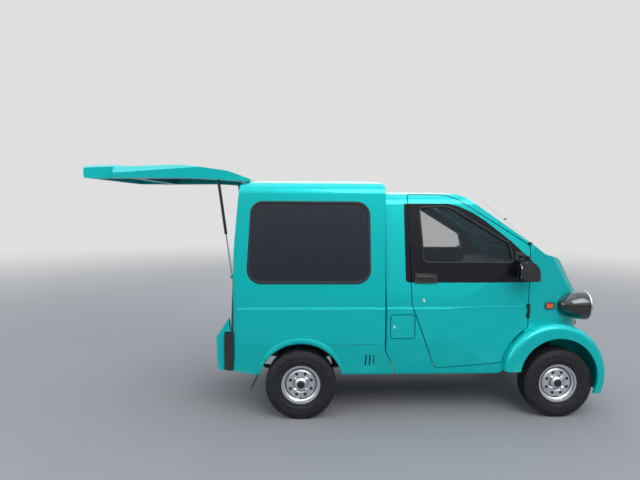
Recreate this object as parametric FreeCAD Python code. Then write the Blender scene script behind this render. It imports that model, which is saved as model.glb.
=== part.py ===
import FreeCAD, Part
import math
import os

os.makedirs("parts", exist_ok=True)

Vector = FreeCAD.Vector

# A small one-box delivery car: narrow nose with lamp pods, cycle wings, two doors,
# a tall load box and a top-hinged tailgate that stands open on two gas struts.
# Lengths in millimetres. While it is modelled, X runs forward from the front axle,
# Y runs to the car's left and Z runs up from the ground. Pieces are moved by
# frameShift when they are saved, which puts the origin under the middle of the car.
frameShift = 1485.0

# Overall layout
wheelbase = 1840.0
rearAxleX = -wheelbase
tyreRadius = 248.0
tyreWidth = 145.0
trackHalf = 555.0
seamGap = 8.0
doorGap = 6.0
seatGap = 0.3
cutReach = 2000.0
bodyReach = 900.0

# Crease along the sides: the body below it stands out by waistStep
waistZ = 798.0
waistStep = 5.0
waistRound = 2.0
shoulderZ = 862.0

# Load box
boxFrontX = -1253.0
boxRoofZ = 1692.0
boxRoofEdgeZ = 1664.0
boxCrownZ = 1716.0
boxRoofCorner = 85.0
boxRoofRound = 4600.0
boxSillZ = 316.0
boxHalfWidth = 630.0
boxTopHalfWidth = 572.0
boxWall = 28.0
seamBendZ = 503.0
seamFoot = 81.0
rimTop = (rearAxleX - 424.0, 1663.0)
rimMiddle = (rearAxleX - 463.0, 1230.0)
rimLow = (rearAxleX - 484.0, 600.0)
rimBottomX = rearAxleX - 488.0
rimCorner = 43.0
rimBow = 1600.0
rearOpeningHalf = boxHalfWidth - 90.0
rearOpeningTop = 1592.0
rearOpeningSill = 572.0
underFloorZ = 552.0
frontOpeningHalf = boxHalfWidth - 120.0
frontOpeningSill = 600.0
frontOpeningTop = 1540.0

# Cab
cabRearX = boxFrontX + seamGap
cabRoofZ = 1620.0
cabRoofEdgeZ = 1596.0
cabCrownZ = 1626.0
cabRoofCorner = 90.0
cabRoofRound = 6000.0
cabHalfWidth = boxHalfWidth - 10.0
cabTopHalfWidth = boxTopHalfWidth - 42.0
cabSillZ = 314.0
cabWall = 42.0
noseWall = 16.0
noseFloorZ = 560.0
cowlX = -62.0
sillRound = 30.0
sillTuck = 30.0
lowerBow = 700.0
shoulderBow = 600.0

# Rounded edges of the bonnet: the corner's place at hoodX, and how it runs forward
hoodX = 100.0
hoodHalf = 490.0
hoodTop = 1177.0
hoodRound = 300.0
hoodRun = Vector(1.0, 0.336, -1.54)

# Wheel arches, cut from the sides
rearArchCentreZ = 254.0
rearArchRadius = 295.0
archLipCentreZ = 292.0
archLipRadius = 310.0
archLipHeight = 6.0
frontArchCentreX = -12.0
frontArchCentreZ = 304.0
frontArchRadius = 279.0
fenderCentreX = -33.0
fenderCentreZ = 314.0
fenderRadius = 370.0
fenderHalfWidth = 647.0
fenderWall = 13.0
fenderLip = 20.0
fenderLipRadius = 230.0
fenderFrontBottomZ = 186.0
fenderRearBottomZ = 344.0
fenderRound = 45.0
fenderInnerThick = 5.0

# Doors
doorWall = cabWall
doorInnerY = cabHalfWidth - 162.0
doorFootInnerY = cabHalfWidth - 96.0
doorFenderRadius = fenderRadius + 14.0
doorHingeX = -219.0
doorHingeY = 588.0
hingeBarrelRadius = 7.0
hingePinSize = 3.0
hingeLow = 718.0
hingeHigh = 819.0
hingePlate = 4.0
runningFit = 0.05

# Tailgate and its gas struts
gateHingeX = rearAxleX - 381.0
gateHingeZ = 1622.0
gateSwing = 87.5
gateGap = 7.0
gateHalfWidth = boxHalfWidth - 26.0
gateNarrowHalf = gateHalfWidth - 72.0
gateTopHalf = boxTopHalfWidth - 24.0
gateStepZ = 730.0
gateFootZ = 512.0
strutSpreadY = boxHalfWidth - 102.0
strutGatePin = (rearAxleX - 462.0, 1428.0)
strutBodyPin = (rearAxleX - 488.0, 1004.0)
strutTubeRadius = 10.0
strutTubeLength = 393.0
strutRodRadius = 4.5
strutRodLength = 335.0
strutEyeRadius = 10.0
strutEyeThick = 8.0
gatePinRadius = 4.0
armY = 350.0
armHalf = 13.0
slotHalf = 19.0
hingePinRadius = 5.0
hingeEye = 13.0

# Running gear
rimRadius = 139.0
rimHalfWidth = 56.0
flangeWide = 6.0
barrelDrop = 7.0
hubBore = 20.05
stubRadius = 20.0
drumRadius = 100.0
steerTopY = 395.0
steerTopZ = 735.0
steerLowY = 474.0
steerLowZ = 170.0

# Lamps
podCentreY = 500.0
podCentreZ = 792.0
podRadius = 105.0
podRingX = 228.0
podTipX = 28.0
podWall = 9.0


def sidePlace(y):
    # places an outline of (x, z) on the plane Y = y
    return lambda u, v: Vector(u, y, v)


def planPlace(z):
    # places an outline of (x, y) on the plane Z = z
    return lambda u, v: Vector(u, v, z)


def frontPlace(x):
    # places an outline of (y, z) on the plane X = x
    return lambda u, v: Vector(x, u, v)


def outline(corners, place):
    # closed wire of straight runs and tangent arcs through (u, v, corner radius)
    count = len(corners)
    ends = []
    edges = []
    for index in range(count):
        u, v, radius = corners[index]
        before = corners[index - 1]
        after = corners[(index + 1) % count]
        point = Vector(u, v, 0)
        towards = Vector(before[0], before[1], 0) - point
        onwards = Vector(after[0], after[1], 0) - point
        towards.normalize()
        onwards.normalize()
        halfAngle = towards.getAngle(onwards) / 2
        if radius <= 0 or halfAngle > math.radians(89.9):
            ends.append((point, point))
            continue
        tangent = radius / math.tan(halfAngle)
        middle = towards + onwards
        middle.normalize()
        centre = point + middle * (radius / math.sin(halfAngle))
        start = point + towards * tangent
        stop = point + onwards * tangent
        crown = centre - middle * radius
        edges.append(Part.Arc(place(start.x, start.y), place(crown.x, crown.y),
                              place(stop.x, stop.y)).toShape())
        ends.append((start, stop))
    for index in range(count):
        start = ends[index - 1][1]
        stop = ends[index][0]
        if start.distanceToPoint(stop) > 0.001:
            edges.append(Part.LineSegment(place(start.x, start.y), place(stop.x, stop.y)).toShape())
    return Part.Wire(Part.__sortEdges__(edges))


def prism(corners, place, direction, inset=0.0):
    # solid between an outline and its copy moved by direction
    wire = outline(corners, place)
    face = Part.Face(wire)
    if inset:
        face = Part.Face(face.makeOffset2D(-inset).OuterWire)
    return face.extrude(direction)


def block(lowX, highX, lowY, highY, lowZ, highZ):
    return Part.makeBox(highX - lowX, highY - lowY, highZ - lowZ, Vector(lowX, lowY, lowZ))


def disc(radius, centre, axis, length):
    return Part.makeCylinder(radius, length, centre, axis)


def mirrored(shape):
    return shape.mirror(Vector(0, 0, 0), Vector(0, 1, 0))


def bothSides(shape):
    return Part.makeCompound([shape, mirrored(shape)])


def fused(pieces):
    whole = pieces[0]
    for piece in pieces[1:]:
        whole = whole.fuse(piece)
    return whole.removeSplitter()


def spun(profile, axisPoint, axis):
    # revolves a closed outline of points and arcs once round an axis
    return Part.Face(profile).revolve(axisPoint, axis, 360)


def solidsOf(shape):
    return [piece for piece in shape.Solids if piece.Volume > 1.0]


def save(node, shape):
    pieces = solidsOf(shape)
    joined = pieces[0] if len(pieces) == 1 else Part.makeCompound(pieces)
    moved = joined.copy()
    moved.translate(Vector(frameShift, 0, 0))
    moved.exportStep("parts/" + node + ".step")
    box = moved.BoundBox
    print(node, len(pieces), [round(v) for v in (box.XMin, box.XMax, box.YMin, box.YMax, box.ZMin,
                                                 box.ZMax)],
          round(moved.Volume / 1e6, 2), moved.isValid())
    return joined


# The load box: side outline of (x, z, corner radius)
boxSide = [
    (boxFrontX + seamFoot, boxSillZ, 12.0),
    (boxFrontX, seamBendZ, 40.0),
    (boxFrontX, boxRoofZ, 78.0),
    (rearAxleX - 120.0, boxRoofZ, 1400.0),
    (rimTop[0], rimTop[1], rimCorner),
    (rimMiddle[0], rimMiddle[1], rimBow),
    (rimLow[0], rimLow[1], 0.0),
    (rimBottomX, boxSillZ + 39.0, 20.0),
    (rearAxleX - 310.0, boxSillZ, 60.0),
]
# Plan of (x, y, corner radius)
boxPlanHalf = boxHalfWidth + 1.0
boxPlan = [
    (boxFrontX + seamFoot, -boxPlanHalf, 10.0),
    (rimBottomX, -boxPlanHalf, 70.0),
    (rimBottomX, boxPlanHalf, 70.0),
    (boxFrontX + seamFoot, boxPlanHalf, 10.0),
]


def sectionCorners(lowHalf, topHalf, edgeZ, edgeRound, crownZ, crownRound, sillZ, inset):
    # cross section of (y, z, corner radius) with the crease, drawn inset within its outside
    half = lowHalf - inset
    waistSharp = max(waistRound - inset, 0.0)
    right = [
        (-half + sillTuck, sillZ - 10.0 + inset, max(sillRound - inset, 2.0)),
        (-half, 560.0, lowerBow),
        (-half, waistZ - waistStep, waistSharp),
        (-half + waistStep, waistZ, waistSharp),
        (-half + waistStep, shoulderZ, shoulderBow),
        (-topHalf + inset, edgeZ - inset, edgeRound - inset),
    ]
    left = [(-y, z, radius) for y, z, radius in reversed(right)]
    return right + [(0.0, crownZ - inset, crownRound)] + left


def boxSolid(inset):
    side = prism(boxSide, sidePlace(-cutReach / 2), Vector(0, cutReach, 0), inset)
    corners = sectionCorners(boxHalfWidth, boxTopHalfWidth, boxRoofEdgeZ, boxRoofCorner,
                             boxCrownZ, boxRoofRound, boxSillZ, inset)
    section = prism(corners, frontPlace(-cutReach * 2), Vector(cutReach * 2, 0, 0))
    plan = prism(boxPlan, planPlace(0), Vector(0, 0, cutReach), inset)
    return side.common(section).common(plan)


# The cab: side outline of (x, z, corner radius)
cabSide = [
    (cabRearX + seamFoot, cabSillZ, 10.0),
    (cabRearX, seamBendZ, 30.0),
    (cabRearX, cabRoofZ, 6.0),
    (-742.0, cabRoofZ, 420.0),
    (-92.0, 1168.0, 40.0),
    (62.0, 1128.0, 160.0),
    (288.0, 915.0, 130.0),
    (300.0, 610.0, 60.0),
    (300.0, noseFloorZ, 20.0),
    (-252.0, noseFloorZ, 20.0),
    (-420.0, cabSillZ, 60.0),
]
cabPlanHalf = cabHalfWidth + 1.0
cabPlan = [
    (cabRearX, -cabPlanHalf, 18.0),
    (-780.0, -cabPlanHalf, 2500.0),
    (-190.0, -578.0, 500.0),
    (250.0, -430.0, 260.0),
    (322.0, 0.0, 900.0),
    (250.0, 430.0, 260.0),
    (-190.0, 578.0, 500.0),
    (-780.0, cabPlanHalf, 2500.0),
    (cabRearX, cabPlanHalf, 18.0),
]
noseRegion = block(cowlX, 420.0, -700, 700, 500.0, 1300.0)
hoodBack = 1500.0
hoodFront = 400.0
hoodFall = math.sqrt(1 + hoodRun.z ** 2)


def hoodSolid(inset):
    # all that lies under the bonnet's rounded right edge
    half = hoodHalf - inset
    top = hoodTop - inset * hoodFall
    corners = [(cutReach, top, 0.0), (-half, top, hoodRound - inset), (-half, -cutReach * 2, 0.0),
               (cutReach, -cutReach * 2, 0.0)]
    return prism(corners, lambda y, z: Vector(hoodX, y, z) - hoodRun * hoodBack,
                 hoodRun * (hoodBack + hoodFront))


def cabSolid(inset):
    side = prism(cabSide, sidePlace(-cutReach / 2), Vector(0, cutReach, 0), inset)
    corners = sectionCorners(cabHalfWidth, cabTopHalfWidth, cabRoofEdgeZ, cabRoofCorner,
                             cabCrownZ, cabRoofRound, cabSillZ, inset)
    section = prism(corners, frontPlace(-cutReach), Vector(cutReach * 2, 0, 0))
    plan = prism(cabPlan, planPlace(0), Vector(0, 0, cutReach), inset)
    return side.common(section).common(plan)


def noseSolid(inset):
    hood = hoodSolid(inset)
    return cabSolid(inset).common(noseRegion).common(hood).common(mirrored(hood))


# Openings in the sides, each an outline of (x, z, corner radius)
boxWindow = [
    (rearAxleX - 372.0, 975.0, 90.0),
    (rearAxleX - 338.0, 1529.0, 75.0),
    (boxFrontX - 119.0, 1529.0, 85.0),
    (boxFrontX - 109.0, 975.0, 90.0),
]
doorFrontX = -222.0
doorSide = [
    (-1060.0, 824.0, 120.0),
    (-1090.0, 1588.0, 22.0),
    (-790.0, 1588.0, 330.0),
    (doorFrontX, 1232.0, 20.0),
    (doorFrontX, 640.0, 6.0),
    (-400.0, 399.0, 24.0),
    (-890.0, 363.0, 36.0),
]
doorWindow = [
    (-978.0, 1115.0, 28.0),
    (-1012.0, 1500.0, 26.0),
    (-800.0, 1510.0, 200.0),
    (-372.0, 1252.0, 40.0),
    (-334.0, 1115.0, 22.0),
]
lidRearX = -1210.0
lidFrontX = -1044.0
lidLowZ = 582.0
lidHighZ = 747.0
lidRound = 22.0
lidFrontRound = 10.0
fuelLidSide = [
    (lidRearX, lidLowZ, lidRound),
    (lidRearX, lidHighZ, lidRound),
    (lidFrontX, lidHighZ, lidFrontRound),
    (lidFrontX, lidLowZ, lidFrontRound),
]
windscreenPlan = [
    (-700.0, -455.0, 60.0),
    (-118.0, -505.0, 70.0),
    (-118.0, 505.0, 70.0),
    (-700.0, 455.0, 60.0),
]


def sideCut(corners, inset=0.0, innerY=100.0):
    # right-hand cutter through one side wall, from outside in to innerY
    return prism(corners, sidePlace(-bodyReach), Vector(0, bodyReach - innerY, 0), inset)


def skin(solidAt, outer, inner):
    # the layer of a body between two insets
    return solidAt(outer).cut(solidAt(inner))


def fenderDisc(radius, innerY):
    # right-hand cutter round the front wing, from outside in to innerY
    return disc(radius, Vector(fenderCentreX, -bodyReach, fenderCentreZ), Vector(0, 1, 0),
                bodyReach - innerY)


def opening(lowHalf, lowZ, topHalf, topZ, lowRound, topRound, backX, depth):
    # cutter along X with a four-cornered outline that is the same left and right
    return prism([(-lowHalf, lowZ, lowRound), (-topHalf, topZ, topRound), (topHalf, topZ, topRound),
                  (lowHalf, lowZ, lowRound)], frontPlace(backX), Vector(depth, 0, 0))


# Chassis sizes that the body is fitted to
sheetThick = 14.0
footZ = 376.0
loadZ = 560.0
seatBoxX = -760.0
railTop = 470.0
railLow = 400.0
railY = 410.0
railHalf = 25.0
frontRailY = 300.0
frontRailTop = footZ - seatGap
frontRailLow = 315.0
frontRailEnd = 250.0
wheelRoomY = frontRailY + 16.0
towerInnerY = frontRailY + 18.0
towerOuterY = frontRailY + 40.0
fenderInnerY = towerOuterY + seatGap

rearArchCut = disc(rearArchRadius, Vector(rearAxleX, -bodyReach, rearArchCentreZ), Vector(0, 1, 0),
                   bodyReach * 2)

# Load box shell with its raised arch lips, side windows, rear opening and front opening
archLips = disc(archLipRadius, Vector(rearAxleX, -bodyReach, archLipCentreZ), Vector(0, 1, 0),
                bodyReach * 2)
archLips = archLips.common(boxSolid(-archLipHeight))
archLips = archLips.cut(block(-cutReach * 2, 0.0, -bodyReach, bodyReach, 0.0, boxSillZ))
boxOuter = boxSolid(0.0).fuse(archLips)
boxInner = boxSolid(boxWall)
boxFrontOpening = opening(frontOpeningHalf, frontOpeningSill, frontOpeningHalf - 15.0, frontOpeningTop,
                          60.0, 80.0,
                          boxFrontX - 60.0, boxWall + 80.0)
boxRearOpening = opening(rearOpeningHalf, rearOpeningSill, rearOpeningHalf - 40.0, rearOpeningTop, 40.0,
                         80.0,
                         rimBottomX - 72.0, 180.0)
underHalf = boxHalfWidth - boxWall - 6.0
boxUnder = block(rimBottomX + 38.0, boxFrontX + seamFoot + 20.0, -underHalf, underHalf, 200.0, underFloorZ)
# air slots low in the side, each (rear x, front x, middle z), and a pressed line above them
ventHalf = 5.0
ventEnd = ventHalf - 0.5
ventHigh = 466.0
ventLow = 385.0
ventLean = 4.0
ventXs = [boxFrontX - 133.0, boxFrontX - 105.0, boxFrontX - 76.0]
vents = [sideCut([(x - ventHalf, ventLow, ventEnd), (x - ventHalf + ventLean, ventHigh, ventEnd),
                  (x + ventHalf + ventLean, ventHigh, ventEnd), (x + ventHalf, ventLow, ventEnd)],
                 0.0, underHalf - 10.0) for x in ventXs]
pressedLine = block(rearAxleX + 223.0, boxFrontX - 4.0, -bodyReach, -boxHalfWidth + 2.5, 540.0, 544.0)
cargoShell = boxOuter.cut(boxInner).cut(bothSides(sideCut(boxWindow))).cut(boxFrontOpening)
cargoShell = cargoShell.cut(boxRearOpening).cut(rearArchCut).cut(boxUnder)
for cutter in vents + [pressedLine]:
    cargoShell = cargoShell.cut(bothSides(cutter))

# Cab shell: roof, pillars, sills and cowl, with the nose panel as the part ahead of the cowl
cabOuter = cabSolid(0.0)
doorCut = sideCut(doorSide, -doorGap, doorInnerY).cut(fenderDisc(doorFenderRadius - doorGap, 0.0))
wheelRoom = bothSides(fenderDisc(fenderRadius + seatGap, wheelRoomY))
screenFootX = -130.0
screenFootZ = 1160.0
screenReach = Vector(0, 0, 700.0)
screenFoot = block(screenFootX, 100.0, -bodyReach, bodyReach, 1000.0, screenFootZ)
screenCut = prism(windscreenPlan, planPlace(1100.0), screenReach).cut(screenFoot)
cabRearOpening = opening(frontOpeningHalf + 10.0, frontOpeningSill, frontOpeningHalf - 10.0,
                         frontOpeningTop, 60.0, 80.0,
                         cabRearX - 20.0, 80.0)
cabUnderHalf = cabHalfWidth - cabWall - 20.0
cabUnder = block(cabRearX - 10.0, -330.0, -cabUnderHalf, cabUnderHalf, 200.0, footZ)
cabUnder = cabUnder.fuse(block(cabRearX - 10.0, cabRearX + seamFoot + cabWall + 20.0, -cabUnderHalf,
                               cabUnderHalf, 200.0, underFloorZ))
cabShell = cabOuter.cut(cabSolid(cabWall)).cut(screenCut).cut(cabRearOpening)
cabShell = cabShell.cut(cabUnder).cut(bothSides(doorCut))
cowlRegion = block(cowlX - seatGap, 420.0, -700, 700, 300.0, 1300.0)
sillEnd = block(-330.0, 420.0, -bodyReach, -wheelRoomY, 200.0, 620.0)
cabShell = cabShell.cut(cowlRegion).cut(wheelRoom).cut(bothSides(sillEnd))


# Fuel lid: a thin skin hinged on its front edge, over a shallow seat in the side
lidThick = 5.0
lidGap = 5.5
lidDepth = 34.0
lidHingeX = lidFrontX - 4.0
lidHingeY = -cabHalfWidth + 4.5
lidEyeRadius = 3.5
lidPinRadius = 1.5
lidEyeLow = 692.0
lidEyeHigh = 736.0
lidPinLow = lidEyeLow - 6.0
lidPinHigh = lidHighZ + 7.0
fillerRadius = 24.0
lidSeat = sideCut(fuelLidSide, -lidGap).common(cabOuter.cut(cabSolid(lidDepth)))
lidEye = disc(lidEyeRadius, Vector(lidHingeX, lidHingeY, lidEyeLow), Vector(0, 0, 1),
              lidEyeHigh - lidEyeLow)
lidBore = disc(lidPinRadius + runningFit, Vector(lidHingeX, lidHingeY, lidLowZ), Vector(0, 0, 1),
               lidHighZ - lidLowZ)
lidPin = disc(lidPinRadius, Vector(lidHingeX, lidHingeY, lidPinLow), Vector(0, 0, 1),
              lidPinHigh - lidPinLow)
fuelLid = sideCut(fuelLidSide).common(cabOuter.cut(cabSolid(lidThick))).fuse(lidEye).cut(lidBore)
for low, high in ((lidPinLow - 2.0, lidEyeLow), (lidEyeHigh, lidHighZ + 10.0)):
    fuelLid = fuelLid.cut(block(lidHingeX - 4.5, lidHingeX + 8.0, -cabHalfWidth - 20.0,
                                -cabHalfWidth + 20.0, low, high))
fillerX = (lidRearX + lidFrontX) / 2 - 15.0
fillerZ = (lidLowZ + lidHighZ) / 2
filler = disc(fillerRadius, Vector(fillerX, -cabHalfWidth + lidDepth - 20.0, fillerZ), Vector(0, 1, 0),
              22.0)
cabShell = fused([cabShell.cut(lidSeat), lidPin, filler])

# Floor: toe board, foot well, seat box and load floor as one bent sheet
def sheetOutline(points, thickness):
    # outline of a bent sheet whose lower face runs through the points
    upper = []
    for index in range(len(points)):
        here = Vector(points[index][0], points[index][1], 0)
        normals = []
        if index > 0:
            run = here - Vector(points[index - 1][0], points[index - 1][1], 0)
            normals.append(Vector(run.y, -run.x, 0).normalize())
        if index < len(points) - 1:
            run = Vector(points[index + 1][0], points[index + 1][1], 0) - here
            normals.append(Vector(run.y, -run.x, 0).normalize())
        middle = normals[0] if len(normals) == 1 else (normals[0] + normals[1]).normalize()
        reach = thickness / middle.dot(normals[0])
        upper.append((here.x + middle.x * reach, here.y + middle.y * reach, 0.0))
    return [(point[0], point[1], 0.0) for point in points] + upper[::-1]


floorLine = [
    (-222.0, 880.0),
    (-222.0, 700.0),
    (-446.0, footZ),
    (seatBoxX, footZ),
    (seatBoxX, loadZ),
    (rimBottomX + 8.0, loadZ),
]
fullWidth = Vector(0, cutReach, 0)
floorPrism = prism(sheetOutline(floorLine, sheetThick), sidePlace(-cutReach / 2), fullWidth)
doorSweep = 9.0
cabRoom = cabSolid(cabWall + doorSweep)
boxRoom = boxSolid(boxWall + seatGap)
floorPan = Part.makeCompound(solidsOf(floorPrism.common(cabRoom)) + solidsOf(floorPrism.common(boxRoom)))

# Chassis: two rails with a step in plan, cross members, body mounts and strut towers
rearRailEnd = rimBottomX + 43.0
railStepX = -800.0
crossXs = [railStepX, boxFrontX - 47.0, rearAxleX + 220.0, rearAxleX - 360.0]
crossHalf = 20.0
crossHigh = 45.0
mountXs = [boxFrontX - 67.0, rearAxleX + 220.0, rearAxleX - 390.0]
towerTop = steerTopZ + seatGap
towerPlate = 12.0
towerRearX = -75.0
towerFrontX = 45.0
rails = []
for sign in (-1, 1):
    inner, outer = sorted((sign * railY - railHalf, sign * railY + railHalf))
    rails.append(block(rearRailEnd, railStepX + 20.0, inner, outer, railLow, railTop))
    for mountX in mountXs:
        rails.append(block(mountX - railHalf, mountX + railHalf, inner, outer, railTop - 2.0,
                           loadZ - seatGap))
    inner, outer = sorted((sign * frontRailY - railHalf, sign * frontRailY + railHalf))
    rails.append(block(railStepX, frontRailEnd, inner, outer, frontRailLow, frontRailTop))
    inner, outer = sorted((sign * towerInnerY, sign * towerOuterY))
    rails.append(block(towerRearX, towerFrontX, inner, outer, frontRailLow + 20.0, towerTop + towerPlate))
    inner, outer = sorted((sign * towerInnerY, sign * (steerTopY + 58.0)))
    rails.append(block(towerRearX, towerFrontX, inner, outer, towerTop, towerTop + towerPlate))
for crossX in crossXs:
    rails.append(block(crossX - crossHalf, crossX + crossHalf, -railY, railY, railLow, railLow + crossHigh))
rails.append(block(railStepX, railStepX + 24.0, -railY, railY, frontRailLow, railTop - 2.0))
rails.append(block(frontRailEnd - 60.0, frontRailEnd - 15.0, -frontRailY, frontRailY, frontRailLow + 5.0,
                   frontRailTop - 5.0))
chassis = fused(rails)

# Front suspension arms, below the rails, that carry the knuckles
armTop = 158.0
armLow = 142.0
armPivotY = frontRailY + 18.0
armPivotX = 105.0
armRight = prism([(-25.0, -steerLowY - 22.0, 18.0), (25.0, -steerLowY - 22.0, 18.0),
                  (armPivotX, -armPivotY - 14.0, 8.0), (armPivotX, -armPivotY + 22.0, 8.0),
                  (-armPivotX, -armPivotY + 22.0, 8.0), (-armPivotX, -armPivotY - 14.0, 8.0)],
                 planPlace(armLow), Vector(0, 0, armTop - armLow))
armHole = prism([(-22.0, -430.0, 12.0), (22.0, -430.0, 12.0), (70.0, -345.0, 12.0), (-70.0, -345.0, 12.0)],
                planPlace(0), Vector(0, 0, 400.0))
armHangers = [block(x - 12.0, x + 12.0, -frontRailY - 25.0, -frontRailY, armTop - 4.0,
                    frontRailLow - seatGap)
              for x in (-88.0, 88.0)]
armRight = fused([armRight.cut(armHole)] + armHangers)
rackX = -150.0
rackZ = 262.0
rackHalf = 335.0
rackRadius = 22.0
rackFeet = [block(rackX - 18.0, rackX + 18.0, y - 20.0, y + 20.0, rackZ,
                  frontRailLow - seatGap) for y in (-295.0, 295.0)]
rack = fused([disc(rackRadius, Vector(rackX, -rackHalf, rackZ), Vector(0, 1, 0), rackHalf * 2)] + rackFeet)
frontSuspension = Part.makeCompound([armRight, mirrored(armRight), rack])

# Knuckle with its strut: turns about the slanted steering axis
steerLow = Vector(0, -steerLowY, steerLowZ)
steerTop = Vector(0, -steerTopY, steerTopZ)
steerAxis = (steerTop - steerLow).normalize()


def onSteerAxis(z):
    share = (z - steerLowZ) / (steerTopZ - steerLowZ)
    return steerLow + (steerTop - steerLow) * share


hubZ = tyreRadius
backFaceY = 503.5
stubTipY = 562.0
stubRootY = 470.0
plateRadius = 98.0
plateThick = 5.0
knuckleFootZ = armTop + 3.2
rodRadius = 18.0
springLow = 568.0
springPitch = 24.0
springTurns = 6
springOuter = 44.0
springInner = 34.0
springCore = 10.0
seatPlateRadius = 46.0
plateFoot = block(-plateRadius, plateRadius, -backFaceY, -backFaceY + plateThick, 0.0, armTop + 6.0)
knucklePieces = [
    disc(stubRadius, Vector(0, -stubTipY, hubZ), Vector(0, 1, 0), stubTipY - stubRootY),
    disc(plateRadius, Vector(0, -backFaceY, hubZ), Vector(0, 1, 0), plateThick).cut(plateFoot),
    disc(42.0, Vector(0, -backFaceY + 3.0, hubZ), Vector(0, 1, 0), 38.0),
    disc(stubRadius, onSteerAxis(knuckleFootZ), steerAxis, 150.0),
    disc(rodRadius, onSteerAxis(300.0), steerAxis, (steerTopZ - 308.0) / steerAxis.z),
    disc(seatPlateRadius, onSteerAxis(springLow - 8.0), steerAxis, 8.0),
    disc(seatPlateRadius, onSteerAxis(springLow + springTurns * springPitch + 6.0), steerAxis, 6.0),
]
# spring drawn as a ribbed sleeve, (radius, height) along the steering axis
springSection = [(springCore, 0.0, 0.0)]
for turn in range(springTurns):
    start = turn * springPitch
    springSection.append((springInner, start, 0.0))
    springSection.append((springOuter, start + 6.0, 0.0))
    springSection.append((springOuter, start + 14.0, 0.0))
    springSection.append((springInner, start + 20.0, 0.0))
springSection.append((springInner, springTurns * springPitch + 8.0, 0.0))
springSection.append((springCore, springTurns * springPitch + 8.0, 0.0))
springFace = Part.Face(outline(springSection, lambda r, z: Vector(r, 0, z)))
spring = springFace.revolve(Vector(0, 0, 0), Vector(0, 0, 1), 360)
spring.Placement = FreeCAD.Placement(onSteerAxis(springLow), FreeCAD.Rotation(Vector(0, 0, 1), steerAxis))
knuckleRight = fused(knucklePieces + [spring])

# Rear axle on leaf springs
axleTubeRadius = 30.0
axleBulge = 96.0
axlePad = 36.0
axlePieces = [
    disc(axleTubeRadius, Vector(rearAxleX, -backFaceY + 2.0, hubZ), Vector(0, 1, 0), (backFaceY - 2.0) * 2),
    Part.makeSphere(axleBulge, Vector(rearAxleX, 0, hubZ)),
    disc(axleTubeRadius, Vector(rearAxleX, 0, hubZ + 6.0), Vector(1, 0, 0), axleBulge + 22.0),
]
axleStub = disc(stubRadius, Vector(rearAxleX, -stubTipY, hubZ), Vector(0, 1, 0), stubTipY - 490.0)
axleBack = disc(plateRadius, Vector(rearAxleX, -backFaceY, hubZ), Vector(0, 1, 0), plateThick)
springPad = block(rearAxleX - 50.0, rearAxleX + 50.0, -railY - 22.0, -railY + 22.0, hubZ, hubZ + axlePad)
for piece in (axleStub, axleBack, springPad):
    axlePieces += [piece, mirrored(piece)]
rearAxle = fused(axlePieces)

leafThick = 8.0
leafWide = 40.0
leafBase = hubZ + axlePad + seatGap
leafEyeZ = 354.0
leafEyeR = 15.7
leafSpan = 410.0
leafRise = leafEyeZ - leafEyeR - leafBase - leafThick
leafPieces = []
for row, reach in ((0, 150.0), (1, 270.0), (2, leafSpan)):
    rise = (reach / leafSpan) ** 2 * leafRise
    low = leafBase + row * leafThick
    edgeY = -railY - leafWide / 2
    bottom = Part.Arc(Vector(rearAxleX - reach, edgeY, low + rise), Vector(rearAxleX, edgeY, low),
                      Vector(rearAxleX + reach, edgeY, low + rise)).toShape()
    top = bottom.copy()
    top.translate(Vector(0, 0, leafThick))
    joins = [Part.LineSegment(bottom.Vertexes[side].Point,
                              top.Vertexes[side].Point).toShape() for side in (0, 1)]
    leafFace = Part.Face(Part.Wire(Part.__sortEdges__([bottom, joins[0], top, joins[1]])))
    leafPieces.append(leafFace.extrude(Vector(0, leafWide, 0)))
for eyeX in (rearAxleX - leafSpan, rearAxleX + leafSpan):
    leafPieces.append(disc(leafEyeR, Vector(eyeX, edgeY, leafEyeZ), Vector(0, 1, 0), leafWide))
    hanger = block(eyeX - 22.0, eyeX + 22.0, edgeY, edgeY + leafWide, leafEyeZ + leafEyeR + seatGap,
                   railLow + 2.0)
    chassis = chassis.fuse(bothSides(hanger))
leafRight = fused(leafPieces)

# Exhaust hanger bars under the frame, and the pipe's route as (x, y, z)
mufflerX = rearAxleX - 410.0
mufflerY = 230.0
mufflerZ = 312.0
mufflerRadius = 58.0
mufflerLong = 220.0
hangerTop = railLow + 2.0
chassis = chassis.fuse(block(mufflerX + 70.0, mufflerX + 110.0, mufflerY - 30.0, mufflerY + 30.0,
                             mufflerZ + mufflerRadius + seatGap, hangerTop))
chassis = chassis.fuse(block(mufflerX + 30.0, mufflerX + 110.0, mufflerY - 30.0, mufflerY + 30.0, railLow,
                             railLow + 30.0))


# Wheels: one set of shapes, spun about Y through the wheel centre
def wheelPlace(centreX, side):
    return lambda r, t: Vector(centreX + r, side * (trackHalf + t), hubZ)


def spunWheel(corners, centreX, side):
    face = Part.Face(outline(corners, wheelPlace(centreX, side)))
    return face.revolve(Vector(centreX, 0, hubZ), Vector(0, 1, 0), 360)


# tyre section of (radius, offset outwards, corner radius): its beads sit inside the rim's flanges
halfTyre = tyreWidth / 2
barrel = rimRadius - barrelDrop
bead = rimHalfWidth - flangeWide
tyreSide = [
    (barrel + seatGap, bead - seatGap, 0.0),
    (rimRadius + seatGap, bead - seatGap, 0.0),
    (rimRadius + seatGap, rimHalfWidth, 0.0),
    (170.0, halfTyre - 2.0, 24.0),
    (222.0, halfTyre - 1.0, 30.0),
    (tyreRadius, halfTyre - 16.0, 12.0),
]
tyreSection = [(r, -t, curve) for r, t, curve in tyreSide] + tyreSide[::-1]
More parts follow.
